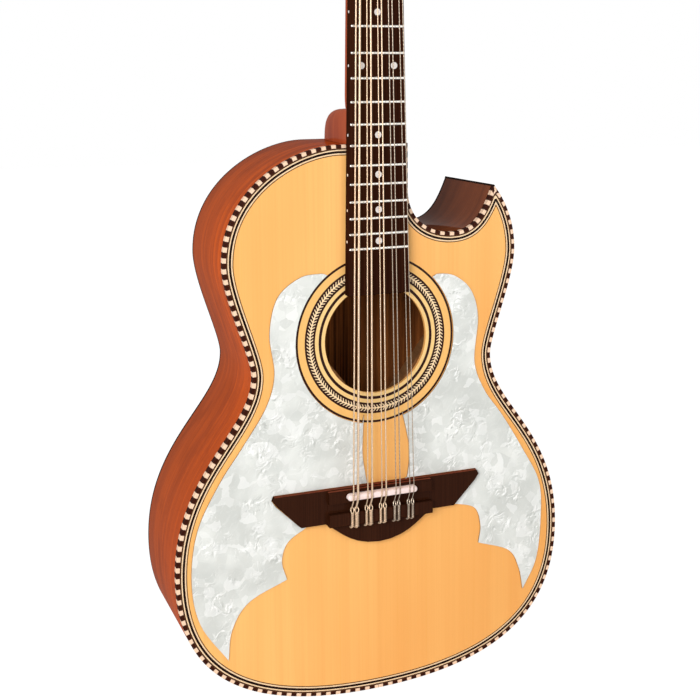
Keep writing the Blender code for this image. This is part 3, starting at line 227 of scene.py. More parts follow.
class Paint(Graph):
    """One material on the Principled shader."""

    def __init__(self, name: str, **constants: Union[float, tuple]) -> None:
        """Start a Principled material.

        Args:
            name: the material's name.
            constants: socket names, with underscores for spaces, and the values set on them.
        """
        self.material = bpy.data.materials.new(name)
        self.material.use_nodes = True
        super().__init__(self.material.node_tree)
        self.shader = self.tree.nodes["Principled BSDF"]
        for key, value in constants.items():
            self.shader.inputs[key.replace("_", " ")].default_value = value

    def place(self) -> Value:
        """Give the place on the object, in metres."""
        return self.node("ShaderNodeTexCoord", output="Object")

    def uv(self) -> Value:
        """Give the piece's own UV map."""
        return self.node("ShaderNodeUVMap", {"uv_map": "run"})

    def axes(self, vector: Value) -> tuple[Value, Value, Value]:
        """Split a vector into its three numbers.

        Args:
            vector: the wrapped vector.

        Returns:
            Its wrapped numbers.
        """
        split = self.node("ShaderNodeSeparateXYZ", None, {0: vector})
        outputs = split.socket.node.outputs
        return tuple(Value(self, outputs[i]) for i in range(3))

    def stretch(self, vector: Value, scale: tuple[float, float, float]) -> Value:
        """Scale a vector's three numbers."""
        return self.node("ShaderNodeVectorMath", {"operation": "MULTIPLY"}, {0: vector, 1: scale})

    def noise(self, vector: Value, scale: float = 1.0, detail: float = 2.0, distortion: float = 0.0) -> Value:
        """Add a noise texture.

        Args:
            vector: the place on the object or in its UV map.
            scale: how many blots there are to a unit.
            detail: how many finer layers it has.
            distortion: how far it is stirred.

        Returns:
            The wrapped factor.
        """
        inputs = {"Vector": vector, "Scale": scale, "Detail": detail, "Distortion": distortion}
        return self.node("ShaderNodeTexNoise", None, inputs)

    def mix(self, factor: Union[Value, float], low: Union[Value, Colour],
            high: Union[Value, Colour]) -> Value:
        """Blend two colours.

        Args:
            factor: 0 gives low and 1 gives high.
            low: a colour or a wrapped colour.
            high: a colour or a wrapped colour.

        Returns:
            The wrapped colour.
        """
        pair = [value if isinstance(value, Value) else (*value, 1.0) for value in (low, high)]
        return self.node("ShaderNodeMix", {"data_type": "RGBA"}, {0: factor, 6: pair[0], 7: pair[1]}, 2)

    def feed(self, socket: str, value: Value) -> None:
        """Lead a value to one of the shader's sockets."""
        self.link(value, self.shader.inputs[socket])

    def bump(self, height: Value, strength: float, distance: float) -> None:
        """Lead a height in 0..1 to the surface's relief."""
        inputs = {"Height": height, "Strength": strength, "Distance": distance}
        self.feed("Normal", self.node("ShaderNodeBump", None, inputs))


@dataclass(frozen=True)
class StraightWood:
    """Wood with fine straight grain along Z, such as the top, the board and the bare inner parts."""

    light: Colour
    dark: Colour
    roughness: float
    specular: float
    line_pitch: float = 0.0011
    streak: float = 0.55
    relief: float = 0.05
    coat: float = 0.0

    def paint(self, name: str) -> bpy.types.Material:
        """Make the material: grain lines, wide tone bands and short pores.

        Args:
            name: the material's name.

        Returns:
            The material.
        """
        made = Paint(name, Specular_IOR_Level=self.specular, Coat_Weight=self.coat, Coat_Roughness=0.06)
        place = made.place()
        lines = made.noise(made.stretch(place, (1 / self.line_pitch, 60.0, 5.0)), 1.0, 3.0)
        bands = made.noise(made.stretch(place, (36.0, 20.0, 2.2)), 1.0, 2.0)
        pores = made.noise(made.stretch(place, (2400.0, 600.0, 90.0)), 1.0, 2.0)
        tone = lines.between(0.34, 0.66) * self.streak + bands.between(0.34, 0.66) * (1 - self.streak)
        colour = made.mix(tone, self.light, self.dark)
        made.feed("Base Color", made.mix(pores.over(0.66, 0.10) * 0.25, colour, self.dark))
        made.feed("Roughness", lines * 0.10 + (self.roughness - 0.05))
        made.bump(lines, self.relief, 0.0001)
        return made.material


@dataclass(frozen=True)
class SpruceTop:
    """The lacquered top: fine straight grain, warm wide bands, a faint seam down the middle and painted shade
    toward the lower treble side.
    """

    light: Colour = (0.985, 0.535, 0.168)
    warm: Colour = (0.900, 0.405, 0.105)
    grain: Colour = (0.860, 0.380, 0.100)
    specular: float = 0.15
    line_pitch: float = 0.0014

    def paint(self, name: str) -> bpy.types.Material:
        """Make the material from bands, lines, the distance from the seam and painted shade that deepens the
        orange toward the lower treble side.

        Args:
            name: the material's name.

        Returns:
            The material.
        """
        made = Paint(name, Specular_IOR_Level=self.specular)
        place = made.place()
        x, _, z = made.axes(place)
        lines = made.noise(made.stretch(place, (1 / self.line_pitch, 60.0, 4.0)), 1.0, 2.0)
        clouds = made.noise(made.stretch(place, (9.0, 9.0, 3.5)), 1.0, 2.0)
        bands = made.noise(made.stretch(place, (70.0, 20.0, 1.5)), 1.0, 2.0)
        # painted shade: the top is paler toward the upper bass side and deeper orange toward the lower treble
        # side, where less light falls
        painted_falloff = (x * 2.4 - z * 0.7 + 0.54).between(0.0, 1.0)
        tone_and_painted_falloff = clouds.between(0.38, 0.66) * 0.45 + bands.between(0.42, 0.60) * 0.22 + painted_falloff * 0.42
        seam = 1.0 - x.math("ABSOLUTE").over(0.0006, 0.0008)
        colour = made.mix(tone_and_painted_falloff, self.light, self.warm)
        colour = made.mix(lines.between(0.45, 0.65) * 0.22 + seam * 0.12, colour, self.grain)
        made.feed("Base Color", colour)
        made.feed("Roughness", lines * 0.10 + 0.24)
        return made.material


@dataclass(frozen=True)
class CurvedWood:
    """Lacquered reddish wood whose grain follows the piece's run, such as the ribs."""

    light: Colour
    middle: Colour
    dark: Colour
    rear: Colour
    coat: float = 0.06

    def paint(self, name: str) -> bpy.types.Material:
        """Make the material: long streaks, a painted sheen that greys and dulls the tone toward the back, a
        soft figure and fine pores.

        Args:
            name: the material's name.

        Returns:
            The material.
        """
        made = Paint(name, Specular_IOR_Level=0.0, Coat_Weight=self.coat, Coat_Roughness=0.08)
        run = made.uv()
        streaks = made.noise(made.stretch(run, (5.0, 130.0, 1.0)), 1.0, 4.0, 0.5)
        figure = made.noise(made.stretch(run, (16.0, 34.0, 1.0)), 1.0, 3.0, 1.2)
        fibres = made.noise(made.stretch(run, (22.0, 900.0, 1.0)), 1.0, 3.0)
        pores = made.noise(made.stretch(run, (170.0, 2100.0, 1.0)), 1.0, 2.0)
        _, depth, _ = made.axes(run)
        # painted sheen: the tone turns duller and greyer toward the back edge of the rib
        back = (depth + streaks * 0.03).between(-0.030, 0.060)
        colour = made.mix(streaks.between(0.40, 0.60) * 0.8, self.light, self.middle)
        colour = made.mix(back * 0.8, colour, self.rear)
        colour = made.mix(figure.between(0.50, 0.70) * 0.32, colour, self.dark)
        colour = made.mix(fibres.between(0.48, 0.68) * 0.22, colour, self.dark)
        made.feed("Base Color", made.mix(pores.over(0.64, 0.08) * 0.35, colour, self.dark))
        made.feed("Roughness", streaks * 0.12 + 0.20)
        made.bump(pores, 0.06, 0.0001)
        return made.material


@dataclass(frozen=True)
class RopeInlay:
    """Cream and brown blocks along the edge, with a dark line on their inner side."""

    cream: Colour = (0.95, 0.68, 0.48)
    brown: Colour = (0.030, 0.006, 0.003)
    inner: Colour = (0.075, 0.028, 0.010)
    pitch: float = 0.0083
    rope_width: float = 0.0027

    def paint(self, name: str) -> bpy.types.Material:
        """Make the material from the run along the edge and the distance from it.

        Args:
            name: the material's name.

        Returns:
            The material.
        """
        made = Paint(name, Specular_IOR_Level=0.0, Coat_Weight=0.05, Coat_Roughness=0.08)
        run, inward, _ = made.axes(made.uv())
        phase = (run / self.pitch).math("FRACT")
        block = phase.band(0.03, 0.48, 0.06)
        rope = 1.0 - inward.over(self.rope_width, 0.0002)
        speck = made.noise(made.place(), 900.0, 3.0)
        cream = made.mix(speck.between(0.3, 0.8) * 0.35, self.cream, (0.80, 0.50, 0.34))
        brown = made.mix(speck.between(0.4, 0.7), self.brown, (0.060, 0.014, 0.006))
        colour = made.mix(rope, self.inner, made.mix(block, brown, cream))
        made.feed("Base Color", colour)
        made.feed("Roughness", speck * 0.15 + 0.22)
        made.bump(block, 0.12, 0.00008)
        return made.material


@dataclass(frozen=True)
class RosetteInlay:
    """Rings round the soundhole: light bands, thin dark rings and a herringbone."""

    outer_light: Colour = (0.93, 0.53, 0.17)
    inner_light: Colour = (0.93, 0.63, 0.26)
    dark: Colour = (0.024, 0.004, 0.002)
    cream: Colour = (0.94, 0.70, 0.42)
    hole_edge: float = 0.0428
    thin_ring: tuple[float, float] = (0.0455, 0.0478)
    bone_ring: tuple[float, float] = (0.0508, 0.0591)
    edge_ring: tuple[float, float] = (0.0646, 0.0664)
    ticks: int = 134
    slant: float = 300.0

    def paint(self, name: str) -> bpy.types.Material:
        """Make the material from the distance and the turn round the soundhole's middle.

        Args:
            name: the material's name.

        Returns:
            The material.
        """
        made = Paint(name, Specular_IOR_Level=0.12)
        soft = 0.00012
        x, _, z = made.axes(made.place())
        z = z - LAY.hole_z
        radius = (x * x + z * z) ** 0.5
        turn = z.math("ARCTAN2", x) * (self.ticks / (2 * math.pi))
        low, high = self.bone_ring
        side = (radius - (low + high) / 2).math("ABSOLUTE")
        leaning = (turn + side * self.slant).math("FRACT")
        tooth = leaning.band(0.13, 0.49, 0.08) * (1.0 - side.over((high - low) / 2 - 0.0016, 0.0002))
        spine = 1.0 - (side - leaning.wave() * 0.0005).over(0.0004, 0.0002)
        rings = radius.band(*self.thin_ring, soft) + radius.band(*self.edge_ring, soft)
        bone = radius.band(low, high, soft)
        grain = made.noise(made.stretch(made.place(), (1500.0, 60.0, 1500.0)), 1.0, 3.0)
        wood = made.mix(radius.over((low + high) / 2, soft), self.inner_light, self.outer_light)
        wood = made.mix(grain.between(0.40, 0.75) * 0.30, wood, (0.72, 0.33, 0.10))
        colour = made.mix((rings + bone).math("MINIMUM", 1.0), wood, self.dark)
        made.feed("Base Color", made.mix(bone * (tooth + spine).math("MINIMUM", 1.0), colour, self.cream))
        made.feed("Roughness", grain * 0.1 + 0.25)
        return made.material


@dataclass(frozen=True)
class PearlPlastic:
    """White pearl figure: pale ground, soft grey patches, painted glints, and curls with a painted highlight
    on one side and painted shade on the other.
    """

    ground: Colour = (0.79, 0.805, 0.765)
    grey: Colour = (0.60, 0.615, 0.58)
    shade: Colour = (0.42, 0.43, 0.40)
    white: Colour = (0.98, 0.98, 0.96)
    flake: float = 0.0085
    curl: float = 0.0070
    slant: tuple[float, float, float] = (0.0007, 0.0, -0.0006)

    def paint(self, name: str) -> bpy.types.Material:
        """Make the material from soft flakes, painted glints, and curls with a painted light side and a
        painted shaded side.

        Args:
            name: the material's name.

        Returns:
            The material.
        """
        made = Paint(name, Specular_IOR_Level=0.2)
        place = made.place()
        swirl = made.node("ShaderNodeTexNoise", None, {"Vector": place, "Scale": 75.0, "Detail": 3.0}, 1)
        bent = made.node("ShaderNodeVectorMath", {"operation": "MULTIPLY_ADD"},
                         {0: swirl, 1: (0.010, 0.010, 0.010), 2: place})
        aside = made.node("ShaderNodeVectorMath", {"operation": "ADD"}, {0: bent, 1: self.slant})
        cell = made.node("ShaderNodeTexVoronoi", {"feature": "F1"}, {"Vector": bent, "Scale": 1 / self.flake},
                         "Color")
        flakes, glints, _ = made.axes(cell)
        cloud = made.noise(place, 34.0, 2.0)
        cluster = made.noise(place, 58.0, 2.0).between(0.47, 0.64)
        curls = [made.noise(spot, 1 / self.curl, 3.0, 1.0) for spot in (bent, aside)]
        slope = curls[0] - curls[1]
        colour = made.mix(cloud.between(0.36, 0.62) * 0.8, self.ground, self.grey)
        colour = made.mix(flakes.between(0.50, 1.0) * 0.55, colour, self.grey)
        # painted glints: some flakes are turned white
        colour = made.mix(glints.between(0.66, 0.86) * 0.38, colour, self.white)
        # painted highlight and painted shade: each curl is lit on one side and shaded on the other, from two
        # shifted samples
        colour = made.mix(slope.between(0.020, 0.085) * (cluster * 0.85 + 0.10), colour, self.white)
        colour = made.mix((slope * -1.0).between(0.034, 0.110) * cluster * 0.6, colour, self.shade)
        made.feed("Base Color", colour)
        made.feed("Roughness", flakes * 0.10 + 0.20)
        made.bump(curls[0], 0.015, 0.0001)
        return made.material


@dataclass(frozen=True)
class PlainFinish:
    """A finish of one colour with fine wear: plastic, bone, lacquer lines or metal."""

    base: Colour
    worn: Colour
    roughness: float
    metallic: float = 0.0
    coat: float = 0.0
    grain: float = 260.0
    specular: float = 0.12

    def paint(self, name: str) -> bpy.types.Material:
        """Make the material with clouded colour and roughness.

        Args:
            name: the material's name.

        Returns:
            The material.
        """
        made = Paint(name, Metallic=self.metallic, Coat_Weight=self.coat, Coat_Roughness=0.06,
                     Specular_IOR_Level=0.5 if self.metallic else self.specular)
        cloud = made.noise(made.place(), self.grain, 4.0)
        made.feed("Base Color", made.mix(cloud.between(0.30, 0.75), self.base, self.worn))
        made.feed("Roughness", cloud * 0.16 + (self.roughness - 0.08))
        made.bump(made.noise(made.place(), self.grain * 6, 2.0), 0.04, 0.00005)
        return made.material


@dataclass(frozen=True)
class WoundWire:
    """A wire with a fine wrap round it; the run along the string is in the UV map."""

    base: Colour
    wrap: float

    def paint(self, name: str) -> bpy.types.Material:
        """Make the material with the wrap's ridges, and painted shade in the grooves between them.

        Args:
            name: the material's name.

        Returns:
            The material.
        """
        made = Paint(name, Metallic=1.0)
        run, around, _ = made.axes(made.uv())
        ridge = (run / self.wrap + around).wave()
        # painted shade: the grooves between the ridges are darkened to about half the base colour
        painted_groove_shade = tuple(0.55 * part for part in self.base)
        made.feed("Base Color", made.mix(ridge, painted_groove_shade, self.base))
        made.feed("Roughness", ridge * -0.12 + 0.38)
        made.bump(ridge, 0.25, 0.0001)
        return made.material


class Finish(Enum):
    """The finishes of the instrument, by the record's material slots."""

    SPRUCE = ("spruce", SpruceTop())
    # painted shade: the braces inside the box are a dull dark brown, far darker than spruce, for the shade
    # there
    BRACE = ("spruce", StraightWood((0.24, 0.11, 0.042), (0.15, 0.065, 0.025), 0.60, 0.05, 0.0016))
    MAHOGANY = ("mahogany", CurvedWood((0.72, 0.115, 0.012), (0.50, 0.078, 0.014), (0.20, 0.036, 0.012),
                                       (0.36, 0.072, 0.024)))
    MAHOGANY_STRAIGHT = ("mahogany", StraightWood((0.56, 0.110, 0.032), (0.32, 0.050, 0.018), 0.28, 0.0,
                                                  0.0022, coat=0.10))
    # painted shade: the cutaway rib gets a much darker copy of the mahogany, for the shade on that wall
    SHADED_RIB = ("mahogany", CurvedWood((0.24, 0.062, 0.018), (0.17, 0.042, 0.013), (0.080, 0.019, 0.007),
                                         (0.16, 0.040, 0.012), 0.16))
    BARE_BACK = ("mahogany", StraightWood((0.60, 0.190, 0.045), (0.060, 0.017, 0.006), 0.70, 0.02, 0.0022))
    CEDAR = ("cedar", StraightWood((0.50, 0.25, 0.11), (0.33, 0.14, 0.06), 0.62, 0.3, 0.0018))
    # painted highlight: a lighter reddish brown on the bridge's upward faces and rounded edges
    PAINTED_EDGE_HIGHLIGHT = ("ebony", PlainFinish((0.24, 0.060, 0.030), (0.16, 0.040, 0.020), 0.40, specular=0.0))
    EBONY = ("ebony", StraightWood((0.042, 0.0125, 0.0050), (0.024, 0.0065, 0.0028), 0.42, 0.0, 0.0009, 0.7,
                                   coat=0.06))
    HEAD_EBONY = ("ebony", StraightWood((0.030, 0.012, 0.008), (0.014, 0.006, 0.004), 0.30, 0.4, 0.0009))
    ROSEWOOD = ("rosewood", StraightWood((0.050, 0.0150, 0.0065), (0.020, 0.0055, 0.0030), 0.46, 0.0, 0.0012,
                                         0.6, 0.08))
    ROPE = ("rope_binding", RopeInlay())
    DARK_EDGE = ("dark_binding", PlainFinish((0.014, 0.006, 0.004), (0.026, 0.011, 0.007), 0.40, coat=0.04,
                                             specular=0.0))
    CREAM_LINE = ("rope_binding", PlainFinish((0.95, 0.70, 0.44), (0.85, 0.58, 0.34), 0.34))
    BLACK_LINE = ("rope_binding", PlainFinish((0.010, 0.004, 0.003), (0.020, 0.009, 0.006), 0.34, coat=0.04,
                                              specular=0.0))
    BROWN_LINE = ("rope_binding", PlainFinish((0.13, 0.055, 0.018), (0.20, 0.095, 0.03), 0.34, specular=0.03))
    # partly painted shadow: the brown of the guards' edge faces stands for both their bevelled edge and the
    # shadow along it
    GUARD_EDGE_AND_SHADOW = ("pearl_plastic", PlainFinish((0.34, 0.22, 0.10), (0.24, 0.14, 0.06), 0.34))
    ROSETTE = ("rosette_inlay", RosetteInlay())
    PEARL = ("pearl_plastic", PearlPlastic())
    BONE = ("bone", PlainFinish((0.97, 0.80, 0.77), (0.92, 0.72, 0.66), 0.34, 0.0, 0.1))
    SHELL = ("bone", PlainFinish((0.82, 0.72, 0.66), (0.95, 0.90, 0.86), 0.24, 0.0, 0.5, 500.0))
    NICKEL = ("plated_steel", PlainFinish((0.86, 0.82, 0.76), (0.70, 0.66, 0.60), 0.24, 1.0))
    STEEL = ("steel", PlainFinish((0.60, 0.60, 0.58), (0.48, 0.47, 0.45), 0.34, 1.0))
    BRASS = ("gilt_brass", PlainFinish((0.86, 0.62, 0.26), (0.72, 0.48, 0.18), 0.26, 1.0))
    WOUND = ("wound_bronze", WoundWire((0.84, 0.62, 0.43), 0.00035))
    PLAIN_WIRE = ("steel", WoundWire((0.56, 0.45, 0.35), 0.0030))

    def material(self) -> bpy.types.Material:
        """Give this finish's material, made once."""
        name = f"look_{self.name.lower()}"
        return bpy.data.materials.get(name) or self.value[1].paint(name)


def mesh_of(name: str, bm: bmesh.types.BMesh) -> bpy.types.Mesh:
    """Turn a mesh in the making into a mesh and free it.

    Args:
        name: the mesh's name.
        bm: the mesh in the making.

    Returns:
        The mesh.
    """
    mesh = bpy.data.meshes.new(name)
    bm.to_mesh(mesh)
    bm.free()
    return mesh


def placed(name: str, data: Union[bpy.types.Mesh, bpy.types.Light, bpy.types.Camera]) -> bpy.types.Object:
    """Put an object into the scene.

    Args:
        name: the object's name.
        data: its mesh, light or camera.

    Returns:
        The object.
    """
    item = bpy.data.objects.new(name, data)
    bpy.context.scene.collection.objects.link(item)
    return item


@dataclass
class Workshop:
    """Makes, joins and finishes the meshes of the pieces."""

    body: str = "instrument"
    count: int = 0

    def keep(self, name: str, bm: bmesh.types.BMesh, finishes: Union[Finish, Sequence[Finish]],
             body: Optional[str] = None, replaces: Iterable[str] = (), bevel: float = 0.0,
             segments: int = 2, angle: float = 32.0, edge: int = -1) -> bpy.types.Object:
        """Turn a bmesh into a finished piece.

        Args:
            name: the piece's name.
            bm: its shape in the shared frame.
            finishes: one finish, or several where faces have material numbers.
            body: the body that it rides on, or the instrument.
            replaces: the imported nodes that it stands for.
            bevel: the width of the rounding on sharp edges.
            segments: the steps of that rounding.
            angle: the angle over which an edge counts as sharp, in degrees.
            edge: the material number of the rounding, or -1 for its neighbours'.

        Returns:
            The piece.
        """
        looks = [finishes] if isinstance(finishes, Finish) else list(finishes)
        bmesh.ops.recalc_face_normals(bm, faces=bm.faces)
        mesh = mesh_of(name, bm)
        for look in looks:
            mesh.materials.append(look.material())
        mesh.shade_smooth()
        mesh.set_sharp_from_angle(angle=math.radians(angle))
        piece = placed(name, mesh)
        if bevel:
            step = piece.modifiers.new("rounding", "BEVEL")
            step.width = bevel
            step.segments = segments
            step.limit_method = "ANGLE"
            step.angle_limit = math.radians(angle)
            step.harden_normals = True
            step.material = edge
        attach(piece, body or self.body)
        if replaces:
            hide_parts(*replaces)
        self.count += 1
        LOG.info("%s: %d faces on %s", name, len(mesh.polygons), body or self.body)
        return piece

    def recoat(self, names: Iterable[str], finish: Finish) -> None:
        """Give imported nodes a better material.

        Args:
            names: the nodes.
            finish: their finish.
        """
        for name in names:
            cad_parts[name].material_slots[0].material = finish.material()
            LOG.info("%s: packed solid, %s", name, finish.name.lower())

    @staticmethod
    def mark(bm: bmesh.types.BMesh, material: int, test: Callable[[bmesh.types.BMFace], bool]) -> None:
        """Give the faces that pass a test another material number.

        Args:
            bm: the mesh in the making.
            material: the number.
            test: says of a face whether it gets the number.
        """
        bm.normal_update()
        for face in bm.faces:
            if test(face):
                face.material_index = material

    def skin(self, bm: bmesh.types.BMesh, rings: Sequence[Sequence[Sequence[float]]]) -> list[list]:
        """Bridge closed rings of as many places each and fill both ends.

        Args:
            bm: the mesh in the making.
            rings: the rings' places.

        Returns:
            The vertices of each ring.
        """
        loops = [self.loop(bm, ring) for ring in rings]
        for (_, low), (_, high) in zip(loops, loops[1:]):
            bmesh.ops.bridge_loops(bm, edges=low + high)
        for _, edges in (loops[0], loops[-1]):
            bmesh.ops.edgeloop_fill(bm, edges=edges)
        return [verts for verts, _ in loops]

    @staticmethod
    def loop(bm: bmesh.types.BMesh, points: Sequence[Sequence[float]]) -> tuple[list, list]:
        """Add a closed loop of edges.

        Args:
            bm: the mesh in the making.
            points: its places.

        Returns:
            The vertices and the edges.
        """
        verts = [bm.verts.new(point) for point in points]
        return verts, [bm.edges.new((verts[i - 1], verts[i])) for i in range(len(verts))]

    def plate(self, outlines: Sequence[Sequence[Vector]], front: Depth, back: Depth,
              bm: Optional[bmesh.types.BMesh] = None, material: int = 0) -> bmesh.types.BMesh:
        """Make a plate with holes from outlines in X and Z.

        Args:
            outlines: the outer outline and those of the holes.
            front: the depth of the front, a number or a rule of the height.
            back: the depth of the back.
            bm: a mesh to add it to.
            material: the material number of its faces.

        Returns:
            The mesh in the making.
        """
        made = bm or bmesh.new()
        edges = []
        for outline in outlines:
            edges += self.loop(made, [(p[0], 0.0, p[1]) for p in outline])[1]
        filled = bmesh.ops.triangle_fill(made, use_beauty=True, use_dissolve=False, edges=edges,
                                         normal=(0.0, -1.0, 0.0))
        faces = [item for item in filled["geom"] if isinstance(item, bmesh.types.BMFace)]
        grown = bmesh.ops.extrude_face_region(made, geom=faces, use_keep_orig=True)["geom"]
        far = [item for item in grown if isinstance(item, bmesh.types.BMVert)]
        near = {vert for face in faces for vert in face.verts}
        for verts, depth in ((near, front), (far, back)):
            for vert in verts:
                vert.co.y = depth(vert.co.z) if callable(depth) else depth
        fresh = {face for vert in (*near, *far) for face in vert.link_faces}
        for face in fresh:
            face.material_index = material
        return made

    def loft(self, rings: Sequence[Sequence[Sequence[float]]],
             bm: Optional[bmesh.types.BMesh] = None) -> bmesh.types.BMesh:
        """Make a closed form over rings of as many places each.

        Args:
            rings: closed rings of places.
            bm: a mesh to add it to.

        Returns:
            The mesh in the making.
        """
        made = bm or bmesh.new()
        self.skin(made, rings)
        return made

    @staticmethod
    def turned(profile: Sequence[tuple[float, float]], sides: int = 24) -> bmesh.types.BMesh:
        """Turn a profile round the Z axis and close its ends.

        Args:
            profile: heights and radii.
            sides: the steps of the full turn.

        Returns:
            The mesh in the making.
        """
        made = bmesh.new()
        verts = [made.verts.new((radius, 0.0, z)) for z, radius in profile]
        edges = [made.edges.new(pair) for pair in zip(verts, verts[1:])]
        bmesh.ops.spin(made, geom=[*verts, *edges], cent=(0, 0, 0), axis=(0, 0, 1), steps=sides,
                       angle=2 * math.pi, use_merge=True)
        bmesh.ops.holes_fill(made, edges=[edge for edge in made.edges if edge.is_boundary], sides=sides)
        return made

    @staticmethod
    def place(bm: bmesh.types.BMesh, matrix: Matrix) -> bmesh.types.BMesh:
        """Move a whole mesh in the making."""
        bmesh.ops.transform(bm, matrix=matrix, verts=bm.verts)
        return bm

    def sweep(self, points: Sequence[Vector], section: Sequence[tuple[float, float]],
              up: Vector = Vector((0, 1, 0)), bm: Optional[bmesh.types.BMesh] = None) -> bmesh.types.BMesh:
        """Sweep a closed section along a path, with the run in the UV map.

        Args:
            points: the path.
            section: the section's places across the path.
            up: a direction that helps to start the frame.
            bm: a mesh to add it to.

        Returns:
            The mesh in the making.
        """
        made = bm or bmesh.new()
        layer = made.loops.layers.uv.get("run") or made.loops.layers.uv.new("run")
        along, rings, side, total = [0.0], [], up, len(section)
        for a, b in zip(points, points[1:]):
            along.append(along[-1] + (b - a).length)
        for i, point in enumerate(points):
            ahead = (points[min(i + 1, len(points) - 1)] - points[max(i - 1, 0)]).normalized()
            side = (side - ahead * side.dot(ahead)).normalized()
            other = ahead.cross(side)
            rings.append([made.verts.new(point + side * a + other * b) for a, b in section])
        for step in range(len(rings) - 1):
            for i in range(total):
                corners = ((step, i), (step, i + 1), (step + 1, i + 1), (step + 1, i))
                face = made.faces.new([rings[ring][spot % total] for ring, spot in corners])
                for loop, (ring, spot) in zip(face.loops, corners):
                    loop[layer].uv = (along[ring], spot / total)
        made.faces.new(rings[0])
        made.faces.new(rings[-1])
        return made

    @staticmethod
    def circle(radius: float, sides: int) -> list[tuple[float, float]]:
        """List the places of a circle."""
        return [(radius * math.cos(2 * math.pi * i / sides), radius * math.sin(2 * math.pi * i / sides))
                for i in range(sides)]

    def copied(self, node: str, flat: float = 1.0) -> bmesh.types.BMesh:
        """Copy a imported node's mesh with its doubles merged and its flat faces joined.

        Args:
            node: the node.
            flat: the angle up to which faces are joined, in degrees.

        Returns:
            The mesh in the making.
        """
        made = bmesh.new()
        made.from_mesh(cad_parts[node].data)
        bmesh.ops.remove_doubles(made, verts=made.verts, dist=0.000002)
        bmesh.ops.dissolve_limit(made, angle_limit=math.radians(flat), verts=made.verts, edges=made.edges)
        return made

    @staticmethod
    def join(target: bmesh.types.BMesh, part: bmesh.types.BMesh, matrix: Matrix) -> None:
        """Add a small part to a mesh in the making.

        Args:
            target: the mesh that it joins.
            part: the part, which is used up.
            matrix: moves the part into place.
        """
        bmesh.ops.transform(part, matrix=matrix, verts=part.verts)
        mesh = mesh_of("part", part)
        target.from_mesh(mesh)
        bpy.data.meshes.remove(mesh)


